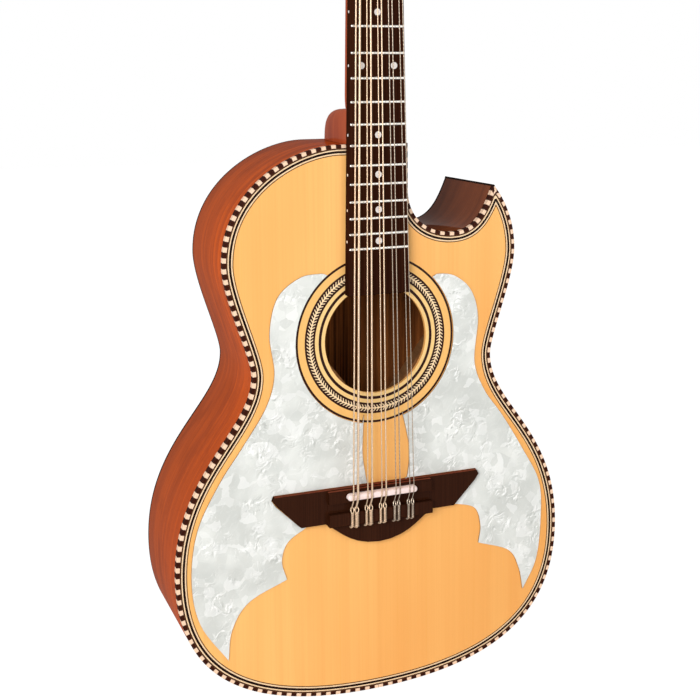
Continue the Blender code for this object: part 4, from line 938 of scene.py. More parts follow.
@dataclass
class Outline:
    """The body's outline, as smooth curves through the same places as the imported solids'."""

    lower: tuple[float, float] = (0.162, 0.2613)
    waist: tuple[float, float] = (0.1005, 0.6005)
    upper: tuple[float, float] = (0.1228, 0.7976)
    flat_half: float = 0.028
    handles: tuple[float, ...] = (0.128, 0.062, 0.080, 0.042, 0.0155, 0.025, 0.058, 0.038)
    horn_drop: float = 0.0363
    horn_lean: float = 0.0085
    horn_handle: float = 0.021
    bay: tuple[float, float] = (0.067, 0.0725)
    bay_handle: float = 0.021
    neck_drop: float = 0.0373
    neck_handle: float = 0.023
    slot_half: float = 0.0093
    step: float = 0.0022
    treble: list = field(default_factory=list)
    cutaway: list = field(default_factory=list)
    bass: list = field(default_factory=list)

    def __post_init__(self) -> None:
        """Run the three stretches of the outline."""
        curves = self.curves()
        low, high = 0.0, 1.0
        for _ in range(40):
            middle = (low + high) / 2
            if self.at(curves[3], middle).y < LAY.neck_z - self.horn_drop:
                low = middle
            else:
                high = middle
        for curve in curves[:3]:
            self.treble += self.run(curve)
        self.treble += self.run(curves[3], low)
        tip = self.at(curves[3], low)
        bay = (self.bay[0], LAY.neck_z - self.bay[1])
        neck = (self.flat_half, LAY.neck_z - self.neck_drop)
        self.cutaway = self.run((tip, (tip.x - self.horn_lean, tip.y - self.horn_handle),
                                 (bay[0] + self.bay_handle, bay[1]), bay))
        self.cutaway += self.run((bay, (bay[0] - self.bay_handle, bay[1]),
                                  (neck[0], neck[1] - self.neck_handle), neck))
        self.cutaway += [Vector(neck), Vector((self.flat_half, LAY.neck_z)),
                         Vector((self.slot_half, LAY.neck_z))]
        half = []
        for curve in curves:
            half += self.run(curve)
        half += [Vector((self.flat_half, LAY.neck_z)), Vector((self.slot_half, LAY.neck_z))]
        self.bass = [Vector((-p.x, p.y)) for p in reversed(half)]

    def curves(self) -> list[tuple]:
        """List the treble half's curves from the tail to the neck.

        Returns:
            Four cubic curves, each as its start, two handles and end.
        """
        tail = (0.0, LAY.tail_z)
        lower, waist, upper = [(x, LAY.tail_z + LAY.body_length * share)
                               for x, share in (self.lower, self.waist, self.upper)]
        flat = (self.flat_half, LAY.neck_z)
        h = self.handles
        return [
            (tail, (h[0], tail[1]), (lower[0], lower[1] - h[1]), lower),
            (lower, (lower[0], lower[1] + h[2]), (waist[0], waist[1] - h[3]), waist),
            (waist, (waist[0], waist[1] + h[4]), (upper[0], upper[1] - h[5]), upper),
            (upper, (upper[0], upper[1] + h[6]), (flat[0] + h[7], flat[1]), flat),
        ]

    @staticmethod
    def at(curve: tuple, t: float) -> Vector:
        """Give a place on a cubic curve."""
        a, b, c, d = (Vector(p) for p in curve)
        return (1 - t) ** 3 * a + 3 * (1 - t) ** 2 * t * b + 3 * (1 - t) * t * t * c + t ** 3 * d

    def run(self, curve: tuple, end: float = 1.0) -> list[Vector]:
        """Sample a curve with steps of about one length.

        Args:
            curve: a cubic curve.
            end: where to end on it, from 0 to 1.

        Returns:
            The places up to, but without, the end.
        """
        rough = [self.at(curve, end * i / 12) for i in range(13)]
        length = sum((b - a).length for a, b in zip(rough, rough[1:]))
        steps = max(3, round(length / self.step))
        return [self.at(curve, end * i / steps) for i in range(steps)]

    @staticmethod
    def shifted(outline: Sequence[Vector], distance: float) -> list[Vector]:
        """Draw an outline inward with mitred corners.

        Args:
            outline: a closed outline.
            distance: how far inward.

        Returns:
            As many places, some of which may fold over.
        """
        least_mitre = 0.35
        moved = []
        for i, point in enumerate(outline):
            before = (point - outline[i - 1]).normalized()
            after = (outline[(i + 1) % len(outline)] - point).normalized()
            normal = Vector((-before.y, before.x))
            middle = (normal + Vector((-after.y, after.x))).normalized()
            moved.append(point + middle * distance / max(middle.dot(normal), least_mitre))
        return moved

    def whole(self) -> list[Vector]:
        """List the closed outline, the treble side first."""
        return self.treble + self.cutaway + self.bass[:-1]

    @staticmethod
    def distances(points: np.ndarray, outline: Sequence[Vector]) -> tuple[np.ndarray, np.ndarray]:
        """Measure places against a closed outline.

        Args:
            points: places, one in each row.
            outline: the outline.

        Returns:
            The least distance and the run along the outline where it is.
        """
        a = np.array([tuple(p) for p in outline])
        b = np.roll(a, -1, axis=0)
        d = b - a
        length = np.linalg.norm(d, axis=1)
        start = np.concatenate(([0.0], np.cumsum(length)[:-1]))
        best = np.full(len(points), 1e9)
        place = np.zeros(len(points))
        for i in range(len(a)):
            if length[i] < 1e-9:
                continue
            share = np.clip(((points - a[i]) @ d[i]) / length[i] ** 2, 0.0, 1.0)
            gap = np.linalg.norm(points - a[i] - share[:, None] * d[i], axis=1)
            nearer = gap < best
            best[nearer] = gap[nearer]
            place[nearer] = start[i] + share[nearer] * length[i]
        return best, place

    def inset(self, outline: Sequence[Vector], distance: float) -> list[Vector]:
        """Draw an outline inward and drop what folds over.

        Args:
            outline: a closed outline.
            distance: how far inward.

        Returns:
            The new outline.
        """
        kept_share = 0.985
        moved = self.shifted(outline, distance)
        gaps = self.distances(np.array([tuple(p) for p in moved]), outline)[0]
        return [p for p, gap in zip(moved, gaps) if gap > kept_share * abs(distance)]

    def lay_run(self, piece: bpy.types.Object, outline: Sequence[Vector], across_depth: bool) -> None:
        """Give a piece a UV map of the run along an outline.

        Args:
            piece: the piece.
            outline: the outline that it follows.
            across_depth: True takes the depth as the second number, False the distance inward.
        """
        mesh = piece.data
        co = np.zeros(len(mesh.vertices) * 3)
        mesh.vertices.foreach_get("co", co)
        co = co.reshape(-1, 3)
        gap, place = self.distances(co[:, [0, 2]], outline)
        across = co[:, 1] if across_depth else gap
        total = sum((outline[i] - outline[i - 1]).length for i in range(len(outline)))
        layer = mesh.uv_layers.new(name="run")
        for face in mesh.polygons:
            runs = [place[v] for v in face.vertices]
            wraps = max(runs) - min(runs) > total / 2
            for loop in face.loop_indices:
                vert = mesh.loops[loop].vertex_index
                u = place[vert] + (total if wraps and place[vert] < total / 2 else 0.0)
                layer.data[loop].uv = (u, across[vert])


@dataclass
class Body:
    """The sound box: top, ribs, back, edge strips and inlaid lines."""

    shop: Workshop
    outline: Outline
    top_thickness: float = 0.0028
    back_thickness: float = 0.0026
    rib_thickness: float = 0.0022
    edge_width: float = 0.0039
    edge_height: float = 0.0055
    back_edge_width: float = 0.0026
    back_edge_height: float = 0.0030
    horn_strip: float = 0.0016
    horn_rise: float = 0.0004
    hole_radius: float = 0.0426
    line_widths: tuple[float, ...] = (0.0009, 0.0018, 0.0010, 0.0008)
    line_rise: float = 0.00003
    line_depth: float = 0.0004
    line_materials: tuple[int, ...] = (0, 1, 0, 2)
    joint_gap: float = 0.0001
    horn_stop: float = 0.0002
    seam_half: float = 0.0016
    seam_end: float = 0.0040
    pin_profile: tuple = ((0.0, 0.0030), (0.0002, 0.0060), (0.0010, 0.0077), (0.0024, 0.0080),
                          (0.0036, 0.0076), (0.0048, 0.0060), (0.0062, 0.0051), (0.0090, 0.0051),
                          (0.0104, 0.0062), (0.0113, 0.0078), (0.0117, 0.0078), (0.0118, 0.0040),
                          (0.0270, 0.0038))

    def circle(self, radius: float, sides: int = 128) -> list[Vector]:
        """List a circle's places round the soundhole's middle."""
        return [Vector((x, LAY.hole_z + z)) for x, z in self.shop.circle(radius, sides)]

    def build(self) -> None:
        """Make and finish every piece of the sound box."""
        whole = self.outline.whole()
        self.make_top(whole)
        self.make_ribs(whole)
        self.make_back(whole)
        self.make_horn_strip()
        self.make_seam()
        self.make_rosette()
        self.make_inside()
        self.make_end_pin()

    def make_top(self, whole: list[Vector]) -> None:
        """Make the spruce plate, the rope edge and the inlaid lines inside it.

        Args:
            whole: the body's closed outline.
        """
        y = LAY.face_y
        edge = self.outline.inset(whole, self.edge_width + self.joint_gap)
        plate = self.shop.plate([edge, self.circle(self.hole_radius)], y, y + self.top_thickness)
        self.shop.keep("top_plate", plate, Finish.SPRUCE, replaces=["soundboard"], bevel=0.00025)
        inner = self.outline.inset(whole, self.edge_width)
        rope = self.shop.plate([whole, inner], y, y + self.edge_height)
        piece = self.shop.keep("rope_edge", rope, Finish.ROPE, replaces=["top_binding"], bevel=0.0006,
                               segments=3)
        self.outline.lay_run(piece, whole, False)
        lines = bmesh.new()
        start = self.edge_width
        for width, material in zip(self.line_widths, self.line_materials):
            pair = [self.outline.inset(whole, start), self.outline.inset(whole, start + width)]
            self.shop.plate(pair, y - self.line_rise, y + self.line_depth, lines, material)
            start += width
        self.shop.keep("edge_lines", lines, [Finish.CREAM_LINE, Finish.BLACK_LINE, Finish.BROWN_LINE])

    def make_ribs(self, whole: list[Vector]) -> None:
        """Bend the three ribs between the edge strips.

        Args:
            whole: the body's closed outline.
        """
        inner = self.outline.shifted(whole, self.rib_thickness)
        front = LAY.face_y + self.edge_height
        horn = len(self.outline.treble)
        neck = horn + len(self.outline.cutaway)
        spans = {"treble": (0, horn + 1), "cutaway": (horn, neck), "bass": (neck, len(whole) + 1)}
        for name, (first, last) in spans.items():
            run = [i % len(whole) for i in range(first, last)]
            path = [whole[i] for i in run] + [inner[i] for i in reversed(run)]
            rib = self.shop.plate([path], front, lambda z: LAY.back_y(z) - self.back_edge_height)
            # painted shade: the cutaway rib takes the darker copy of the mahogany
            look = Finish.SHADED_RIB if name == "cutaway" else Finish.MAHOGANY
            piece = self.shop.keep(f"rib_{name}", rib, look, replaces=[f"side_{name}"], angle=40)
            self.outline.lay_run(piece, whole, True)

    def make_back(self, whole: list[Vector]) -> None:
        """Make the back plate, bare on its inner face, and its dark edge strip.

        Args:
            whole: the body's closed outline.
        """
        edge = self.outline.inset(whole, self.back_edge_width)
        back = self.shop.plate([edge], lambda z: LAY.back_y(z) - self.back_thickness, LAY.back_y)
        self.shop.mark(back, 1, lambda face: face.calc_center_median().y
                       < LAY.back_y(face.calc_center_median().z) - self.back_thickness * 0.8)
        self.shop.keep("back_plate", back, [Finish.MAHOGANY_STRAIGHT, Finish.BARE_BACK], replaces=["back"],
                       bevel=0.0003)
        strip = self.shop.plate([whole, edge], lambda z: LAY.back_y(z) - self.back_edge_height, LAY.back_y)
        self.shop.keep("back_edge", strip, Finish.DARK_EDGE, replaces=["back_binding"], bevel=0.0005,
                       segments=3)

    def make_horn_strip(self) -> None:
        """Lay a dark strip along the horn's sharp corner, from the face to the back."""
        tip = self.outline.cutaway[0]
        feet = [tip + (place - tip).normalized() * self.horn_strip
                for place in (self.outline.treble[-1], self.outline.cutaway[1])]
        away = (tip - (feet[0] + feet[1]) / 2).normalized() * self.horn_rise
        strip = self.shop.plate([[place + away for place in (feet[0], tip, feet[1])]],
                                LAY.face_y - self.line_rise, lambda z: LAY.back_y(z) - self.horn_stop)
        self.shop.keep("horn_strip", strip, Finish.DARK_EDGE)

    def make_seam(self) -> None:
        """Inlay the dark line down the middle of the back."""
        low, high = LAY.tail_z + self.seam_end, LAY.neck_z - self.seam_end
        half = self.seam_half
        seam = [Vector(p) for p in ((-half, low), (half, low), (half, high), (-half, high))]
        line = self.shop.plate([seam], lambda z: LAY.back_y(z) - self.line_depth,
                               lambda z: LAY.back_y(z) + self.line_rise)
        self.shop.keep("back_seam", line, Finish.DARK_EDGE)

    def make_rosette(self) -> None:
        """Inlay the ring round the soundhole."""
        inlay = RosetteInlay()
        rings = [self.circle(inlay.edge_ring[1], 160), self.circle(inlay.hole_edge, 160)]
        ring = self.shop.plate(rings, LAY.face_y - self.line_rise, LAY.face_y + self.line_depth * 2)
        self.shop.keep("rosette_ring", ring, Finish.ROSETTE, replaces=["rosette"])

    def make_inside(self) -> None:
        """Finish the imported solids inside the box."""
        # painted shade: the braces take the darkened spruce
        self.shop.recoat(["x_brace", "upper_brace", "tone_bar"], Finish.BRACE)
        self.shop.recoat(["top_lining", "back_lining", "neck_block", "tail_block", "back_brace_lower",
                          "back_brace_upper"], Finish.CEDAR)
        self.shop.recoat(["bridge_plate"], Finish.ROSEWOOD)
        self.shop.recoat(["truss_rod"], Finish.STEEL)

    def make_end_pin(self) -> None:
        """Turn the strap pin at the tail."""
        middle = (LAY.face_y + LAY.back_y(LAY.tail_z)) / 2
        pin = self.shop.place(self.shop.turned(self.pin_profile, 32), Matrix.Translation((0, middle, 0)))
        self.shop.keep("strap_pin", pin, Finish.BONE, replaces=["end_pin"])


@dataclass
class Guards:
    """The two pearl plates either side of the strings."""

    shop: Workshop
    thickness: float = 0.0011
    clearance: float = 0.0005
    lift: float = 0.00002
    ring_radius: float = 0.0663
    bass: tuple = (
        ((92.8, 396.8), (106.0, 400.2), (144.4, 395.1), (185, 362.8), (200.1, 300.3), (192.1, 228.1),
         (208.3, 171.7), (249.8, 108.9), (294.1, 46.5), (333.5, -30.9), (344.9, -118.7), (330, -196.7),
         (282.1, -267.7)),
        ((282.1, -267.7), (274.8, -214.3), (243.9, -169.8), (174, -140.3)),
        ((174, -140.3), (182.9, -105.4), (171.4, -73.3), (137.5, -51.8)),
    )
    treble: tuple = (
        ((111.1, 380.4), (124.0, 385.2), (156.5, 379.0), (189.0, 350.5), (203.2, 299), (196, 216.6),
         (216.6, 160.2), (254.4, 108), (298, 37.8), (332.8, -28.2), (337.6, -96.7), (327.8, -178.8),
         (298.4, -235.2)),
        ((298.4, -235.2), (289.7, -191.6), (267.2, -154.3), (204, -130.4)),
        ((204, -130.4), (208.1, -96.3), (194.8, -61.4), (146.7, -47)),
    )
    bass_inner: tuple = ((18.3, 4.6), (23.8, 30.7), (28.7, 68.8), (27.5, 110), (25.2, 142.1))
    treble_inner: tuple = ((55, 4.6), (60.5, 25.4), (63.5, 64.2), (58, 99.9), (48.1, 142.1))

    @staticmethod
    def spot(place: tuple[float, float], side: int) -> Vector:
        """Turn a place in thousandths of the body's length into metres."""
        unit = LAY.body_length / 1000
        return Vector((side * place[0] * unit, LAY.saddle_z + place[1] * unit))

    def flowing(self, places: Sequence[tuple[float, float]], side: int, steps: int = 10) -> list[Vector]:
        """Run a smooth curve through places given in thousandths of the body's length.

        Args:
            places: the places from the saddle's middle.
            side: the sign of X.
            steps: the steps between two places.

        Returns:
            The curve's places, without the last.
        """
        knots = [self.spot(place, side) for place in places]
        ends = [2 * knots[0] - knots[1]] + knots + [2 * knots[-1] - knots[-2]]
        made = []
        for i in range(1, len(knots)):
            a, b = ends[i], ends[i + 1]
            curve = (a, a + (b - ends[i - 1]) / 6, b - (ends[i + 2] - a) / 6, b)
            made += [Outline.at(curve, t / steps) for t in range(steps)]
        return made

    def ring_arc(self, start: Vector, end: Vector, steps: int = 40) -> list[Vector]:
        """Follow the rosette's edge from near one place to near another.

        Args:
            start: the place where the arc starts.
            end: the place where it ends.
            steps: the steps between them.

        Returns:
            The arc's places, without the last.
        """
        radius = self.ring_radius + self.clearance
        middle = Vector((0, LAY.hole_z))
        a = math.atan2(start.y - middle.y, start.x)
        b = math.atan2(end.y - middle.y, end.x)
        if abs(b - a) > math.pi:
            b += 2 * math.pi if b < a else -2 * math.pi
        angles = [a + (b - a) * i / steps for i in range(steps)]
        return [middle + Vector((math.cos(angle), math.sin(angle))) * radius for angle in angles]

    def build(self) -> None:
        """Make both plates, each closed along the rosette and the bridge."""
        bridge = Bridge(self.shop)
        for name, runs, inner, side in (("bass", self.bass, self.bass_inner, -1),
                                        ("treble", self.treble, self.treble_inner, 1)):
            path = []
            for run in runs:
                path += self.flowing(run, side)
            foot = self.spot(runs[-1][-1], side)
            inside = self.flowing(inner, side)
            path += [foot] + bridge.edge_between(foot, inside[0], self.clearance, side)
            path += inside
            path += self.ring_arc(inside[-1], path[0])
            plate = self.shop.plate([path], LAY.face_y - self.thickness, LAY.face_y - self.lift)
            # the edge faces take the brown that is partly painted shadow
            self.shop.mark(plate, 1, lambda face: abs(face.normal.y) < 0.5)
            self.shop.keep(f"guard_{name}", plate, [Finish.PEARL, Finish.GUARD_EDGE_AND_SHADOW],
                           replaces=[f"pickguard_{name}"])


@dataclass
class Bridge:
    """The bridge, the saddle and what ties the strings."""

    shop: Workshop
    half: float = 0.0873
    top_edge: float = 0.0055
    foot_half: float = 0.065
    foot_drop: float = 0.021
    tip_radius: float = 0.0035
    saddle_half: float = 0.0293
    saddle_thickness: float = 0.0050
    saddle_height: float = 0.0138
    saddle_slot: float = 0.0034
    saddle_crown: tuple = ((0.0016, 0.0), (0.0006, 0.0003), (0.0001, 0.0010), (0.0, 0.0016))

    def edge_between(self, start: Vector, end: Vector, clearance: float, side: int) -> list[Vector]:
        """Follow the bridge's wing from one pearl corner to another.

        Args:
            start: the corner at the lower edge.
            end: the corner at the upper edge.
            clearance: the gap kept from the bridge.
            side: the sign of X.

        Returns:
            The places between them.
        """
        c = clearance
        drop = -self.foot_drop - c
        places = [(self.foot_half, drop), (self.half - self.tip_radius + c, -self.tip_radius * 0.7 - c),
                  (self.half + c, self.tip_radius * 0.7), (self.half - 0.0010, self.top_edge + c)]
        path = [Vector((start.x, LAY.saddle_z + drop))]
        path += [Vector((side * x, LAY.saddle_z + z)) for x, z in places]
        return path + [Vector((end.x, LAY.saddle_z + self.top_edge + c))]

    def build(self) -> None:
        """Finish the bridge, with a painted highlight along its upper edge, and make the saddle."""
        block = self.shop.copied("bridge")
        # painted highlight: the upward faces above the saddle line, and every rounded edge, take the lighter
        # brown
        self.shop.mark(block, 1, lambda face: face.normal.z > 0.8
                       and face.calc_center_median().z > LAY.saddle_z)
        self.shop.keep("bridge_body", block, [Finish.EBONY, Finish.PAINTED_EDGE_HIGHLIGHT], replaces=["bridge"],
                       bevel=0.0005, edge=1)
        rings = [self.saddle_ring(self.saddle_slot, 0.0)]
        rings += [self.saddle_ring(self.saddle_height - drop, inset) for drop, inset in self.saddle_crown]
        self.shop.keep("saddle_bone", self.shop.loft(rings), Finish.BONE, replaces=["saddle"], angle=50)

    def saddle_ring(self, rise: float, inset: float, steps: int = 11) -> list[tuple[float, float, float]]:
        """Draw the saddle's long round-ended section.

        Args:
            rise: its height over the soundboard.
            inset: how far it is drawn in.
            steps: the steps of each round end.

        Returns:
            The section's places.
        """
        half = self.saddle_thickness / 2 - inset
        straight = self.saddle_half - inset - half
        ring = []
        for centre, start in ((straight, -math.pi / 2), (-straight, math.pi / 2)):
            for i in range(steps + 1):
                angle = start + math.pi * i / steps
                ring.append((centre + half * math.cos(angle), LAY.face_y - rise,
                             LAY.saddle_z + half * math.sin(angle)))
        return ring


@dataclass
class Board:
    """The fingerboard with its frets and dots, and the nut."""

    shop: Workshop
    thickness: float = 0.0070
    half_nut: float = 0.0176
    half_end: float = 0.0258
    end_rise: float = 0.1564
    frets: int = 21
    fret_half_width: float = 0.0011
    fret_height: float = 0.0011
    fret_inset: float = 0.0004
    fret_sink: float = 0.0001
    fret_ends: tuple = ((-1.0, 0.35), (-0.985, 0.85), (-0.96, 1.0))
    single_dots: tuple[float, ...] = (3, 5, 7, 10, 15, 17, 19, 21)
    double_dots: tuple[float, ...] = (12,)
    dot_radius: float = 0.0027
    double_reach: float = 0.0135
    dot_rise: float = 0.00003
    dot_depth: float = 0.0010
    edge_dot_radius: float = 0.0011
    edge_dot_drop: float = 0.0034

    def half(self, z: float) -> float:
        """Give the board's half width at a height."""
        end = LAY.saddle_z + self.end_rise
        return self.half_nut + (self.half_end - self.half_nut) * (LAY.nut_z - z) / (LAY.nut_z - end)

    @property
    def top(self) -> float:
        """Give the depth of the board's playing face."""
        return LAY.face_y - self.thickness - LAY.gap

    def build(self) -> None:
        """Make the board, the frets, the dots and the nut."""
        end, start = LAY.saddle_z + self.end_rise, LAY.nut_z - LAY.gap
        outline = [Vector(p) for p in ((-self.half(end), end), (self.half(end), end),
                                       (self.half(start), start), (-self.half(start), start))]
        board = self.shop.plate([outline], self.top, LAY.face_y - LAY.gap)
        self.shop.keep("board_wood", board, Finish.ROSEWOOD, replaces=["fingerboard"], bevel=0.0005)
        self.make_frets()
        self.make_dots()
        nut = self.shop.copied("nut")
        self.shop.keep("nut_bone", nut, Finish.BONE, replaces=["nut"], bevel=0.0002)

    def make_frets(self) -> None:
        """Lay the fret wires: half-round, and rounded off at both ends."""
        frets = bmesh.new()
        arch = [(math.cos(math.pi * i / 10), math.sin(math.pi * i / 10)) for i in range(11)]
        for number in range(1, self.frets + 1):
            z = LAY.fret_z(number)
            reach = self.half(z) - self.fret_inset
            rings = []
            for place, size in self.fret_ends + tuple((-p, s) for p, s in reversed(self.fret_ends)):
                rings.append([(place * reach, self.top + self.fret_sink - h * self.fret_height * size,
                               z + w * self.fret_half_width * size) for w, h in arch])
            self.shop.loft(rings, frets)
        self.shop.keep("fret_wires", frets, Finish.NICKEL, angle=50)

    def dot_z(self, number: int) -> float:
        """Give the height halfway between a fret and the one before it."""
        return (LAY.fret_z(number - 1) + LAY.fret_z(number)) / 2

    def make_dots(self) -> None:
        """Inlay the dots on the face and on the bass edge."""
        dots, edge_dots = bmesh.new(), bmesh.new()
        places = [(0.0, n) for n in self.single_dots]
        places += [(side * self.double_reach, n) for n in self.double_dots for side in (-1, 1)]
        for x, number in places:
            z = self.dot_z(number)
            ring = [Vector((x + a, z + b)) for a, b in self.shop.circle(self.dot_radius, 28)]
            self.shop.plate([ring], self.top - self.dot_rise, self.top + self.dot_depth, dots)
        self.shop.keep("face_dots", dots, Finish.SHELL)
        turn = Matrix.Rotation(-math.pi / 2, 4, "Y")
        for number in sorted((*self.single_dots, *self.double_dots)):
            z = self.dot_z(number)
            dot = self.shop.turned([(-0.0008, self.edge_dot_radius), (0.00008, self.edge_dot_radius)], 16)
            spot = Matrix.Translation((-self.half(z), self.top + self.edge_dot_drop, z))
            self.shop.join(edge_dots, dot, spot @ turn)
        self.shop.keep("edge_dots", edge_dots, Finish.SHELL)


@dataclass
class Neck:
    """The neck with its heel, and the headstock with its dark face."""

    shop: Workshop
    board: Board
    depth_nut: float = 0.0145
    depth_body: float = 0.0170
    heel_length: float = 0.0265
    heel_cap_half: float = 0.0160
    heel_flare: float = 0.0120
    heel_margin: float = 0.0030
    heel_power: float = 3.2
    heel_squareness: float = 0.35
    round_power: float = 0.8
    heel_steps: int = 14
    shares: tuple[float, ...] = tuple(i / 6 for i in range(1, 7))
    inside: float = 0.0040
    head_length: float = 0.182
    shoulder_half: float = 0.0380
    tip_half: float = 0.0340
    shoulder_rise: float = 0.026
    crown: float = 0.012
    post_hole: float = 0.0034

    def ring(self, z: float, half: float, depth: float, heel: float, front: float = 0.0) -> list:
        """Draw one section of the neck.

        Args:
            z: its height.
            half: its half width at the board.
            depth: how deep it reaches.
            heel: 0 for the round neck and 1 for the heel's form.
            front: where it starts behind the board's plane.

        Returns:
            The section's places.
        """
        steps = 32
        made = []
        for i in range(steps + 1):
            angle = math.pi * i / steps
            across = math.cos(angle)
            inward = math.sin(angle) ** self.round_power if 0 < i < steps else 0.0
            drawn = 1 - (1 - self.heel_cap_half / half) * inward
            blunt = math.copysign(abs(across) ** self.heel_squareness, across) if abs(across) > 1e-6 else 0.0
            x = half * (across * (1 - heel) + blunt * drawn * heel)
            made.append((x, LAY.face_y + front + (depth - front) * inward, z))
        return made

    def build(self) -> None:
        """Make the neck with its heel, the head and its face."""
        rings = []
        heel_back = LAY.depth_neck - self.heel_margin
        for i in range(self.heel_steps + 1):
            share = math.sin(math.pi / 2 * i / self.heel_steps)
            drop = max(0.0, 1 - share ** self.heel_power) ** (1 / self.heel_power)
            depth = self.depth_body + (heel_back - self.depth_body) * drop
            z = LAY.neck_z + LAY.gap + self.heel_length * share
            rings.append(self.ring(z, self.board.half(z), depth, 0.9 - 0.25 * share))
        heel_end = LAY.neck_z + self.heel_length
        for share in self.shares:
            z = heel_end + self.heel_flare * share
            fade = (1 - share) ** 2
            rings.append(self.ring(z, self.board.half(z), self.depth_body + self.heel_flare * 0.3 * fade,
                                   0.65 * fade))
        flare_end = heel_end + self.heel_flare
        for share in self.shares:
            z = flare_end + (LAY.head_z - flare_end) * share
            depth = self.depth_body + (self.depth_nut - self.depth_body) * share
            rings.append(self.ring(z, self.board.half(min(z, LAY.nut_z)), depth, 0.0))
        rings.append(self.ring(LAY.head_z + self.inside, self.board.half_nut, self.depth_nut, 0.0,
                               self.inside * math.tan(LAY.head_tilt) + LAY.gap))
        neck = self.shop.loft(rings)
        self.shop.keep("neck_wood", neck, Finish.MAHOGANY_STRAIGHT, replaces=["neck"], angle=45)
        self.make_head()

    def make_head(self) -> None:
        """Make the headstock and its dark face, both with the holes of the posts."""
        holes = [[Vector((x + a, z + b)) for a, b in self.shop.circle(self.post_hole, 24)]
                 for _, _, x, z in Machines.places()]
        slab = self.shop.plate([self.head_outline(LAY.gap), *holes], 0.0, LAY.head_thickness)
        self.shop.place(slab, LAY.head_frame())
        self.shop.keep("head_wood", slab, Finish.MAHOGANY_STRAIGHT, bevel=0.0009, segments=3)
        face = self.shop.plate([self.head_outline(LAY.gap * 3), *holes], LAY.head_face, 0.0)
        self.shop.place(face, LAY.head_frame())
        self.shop.keep("head_face", face, Finish.HEAD_EBONY, replaces=["head_veneer"], bevel=0.0005)

    def head_outline(self, start: float) -> list[Vector]:
        """Draw the head: shoulders that flare from the nut and a low double arch.

        Args:
            start: the height on the head where it starts.

        Returns:
            The closed outline.
        """
        nut, shoulder = self.board.half_nut, self.shoulder_half
        rise, crown, tip = self.shoulder_rise, self.crown, self.tip_half
        top = self.head_length
        arch, valley = (tip * 0.36, top - crown * 0.15), (0, top - crown * 0.45)
        curves = [
            ((nut, rise * 0.2), (nut, rise * 0.75), (shoulder, rise * 0.45), (shoulder, rise)),
            ((tip, top - crown), (tip, top), (tip * 0.62, top + crown * 0.25), arch),
            (arch, (tip * 0.22, top - crown * 0.35), (tip * 0.12, valley[1]), valley),
        ]
        right = [Vector((nut, start))]
        for number, curve in enumerate(curves):
            right += [Outline.at(curve, i / 14) for i in range(14)]
            if number == 0:
                right.append(Vector((shoulder, rise)))
        left = [Vector((-p.x, p.y)) for p in reversed(right)]
        return right + [Vector(valley)] + left


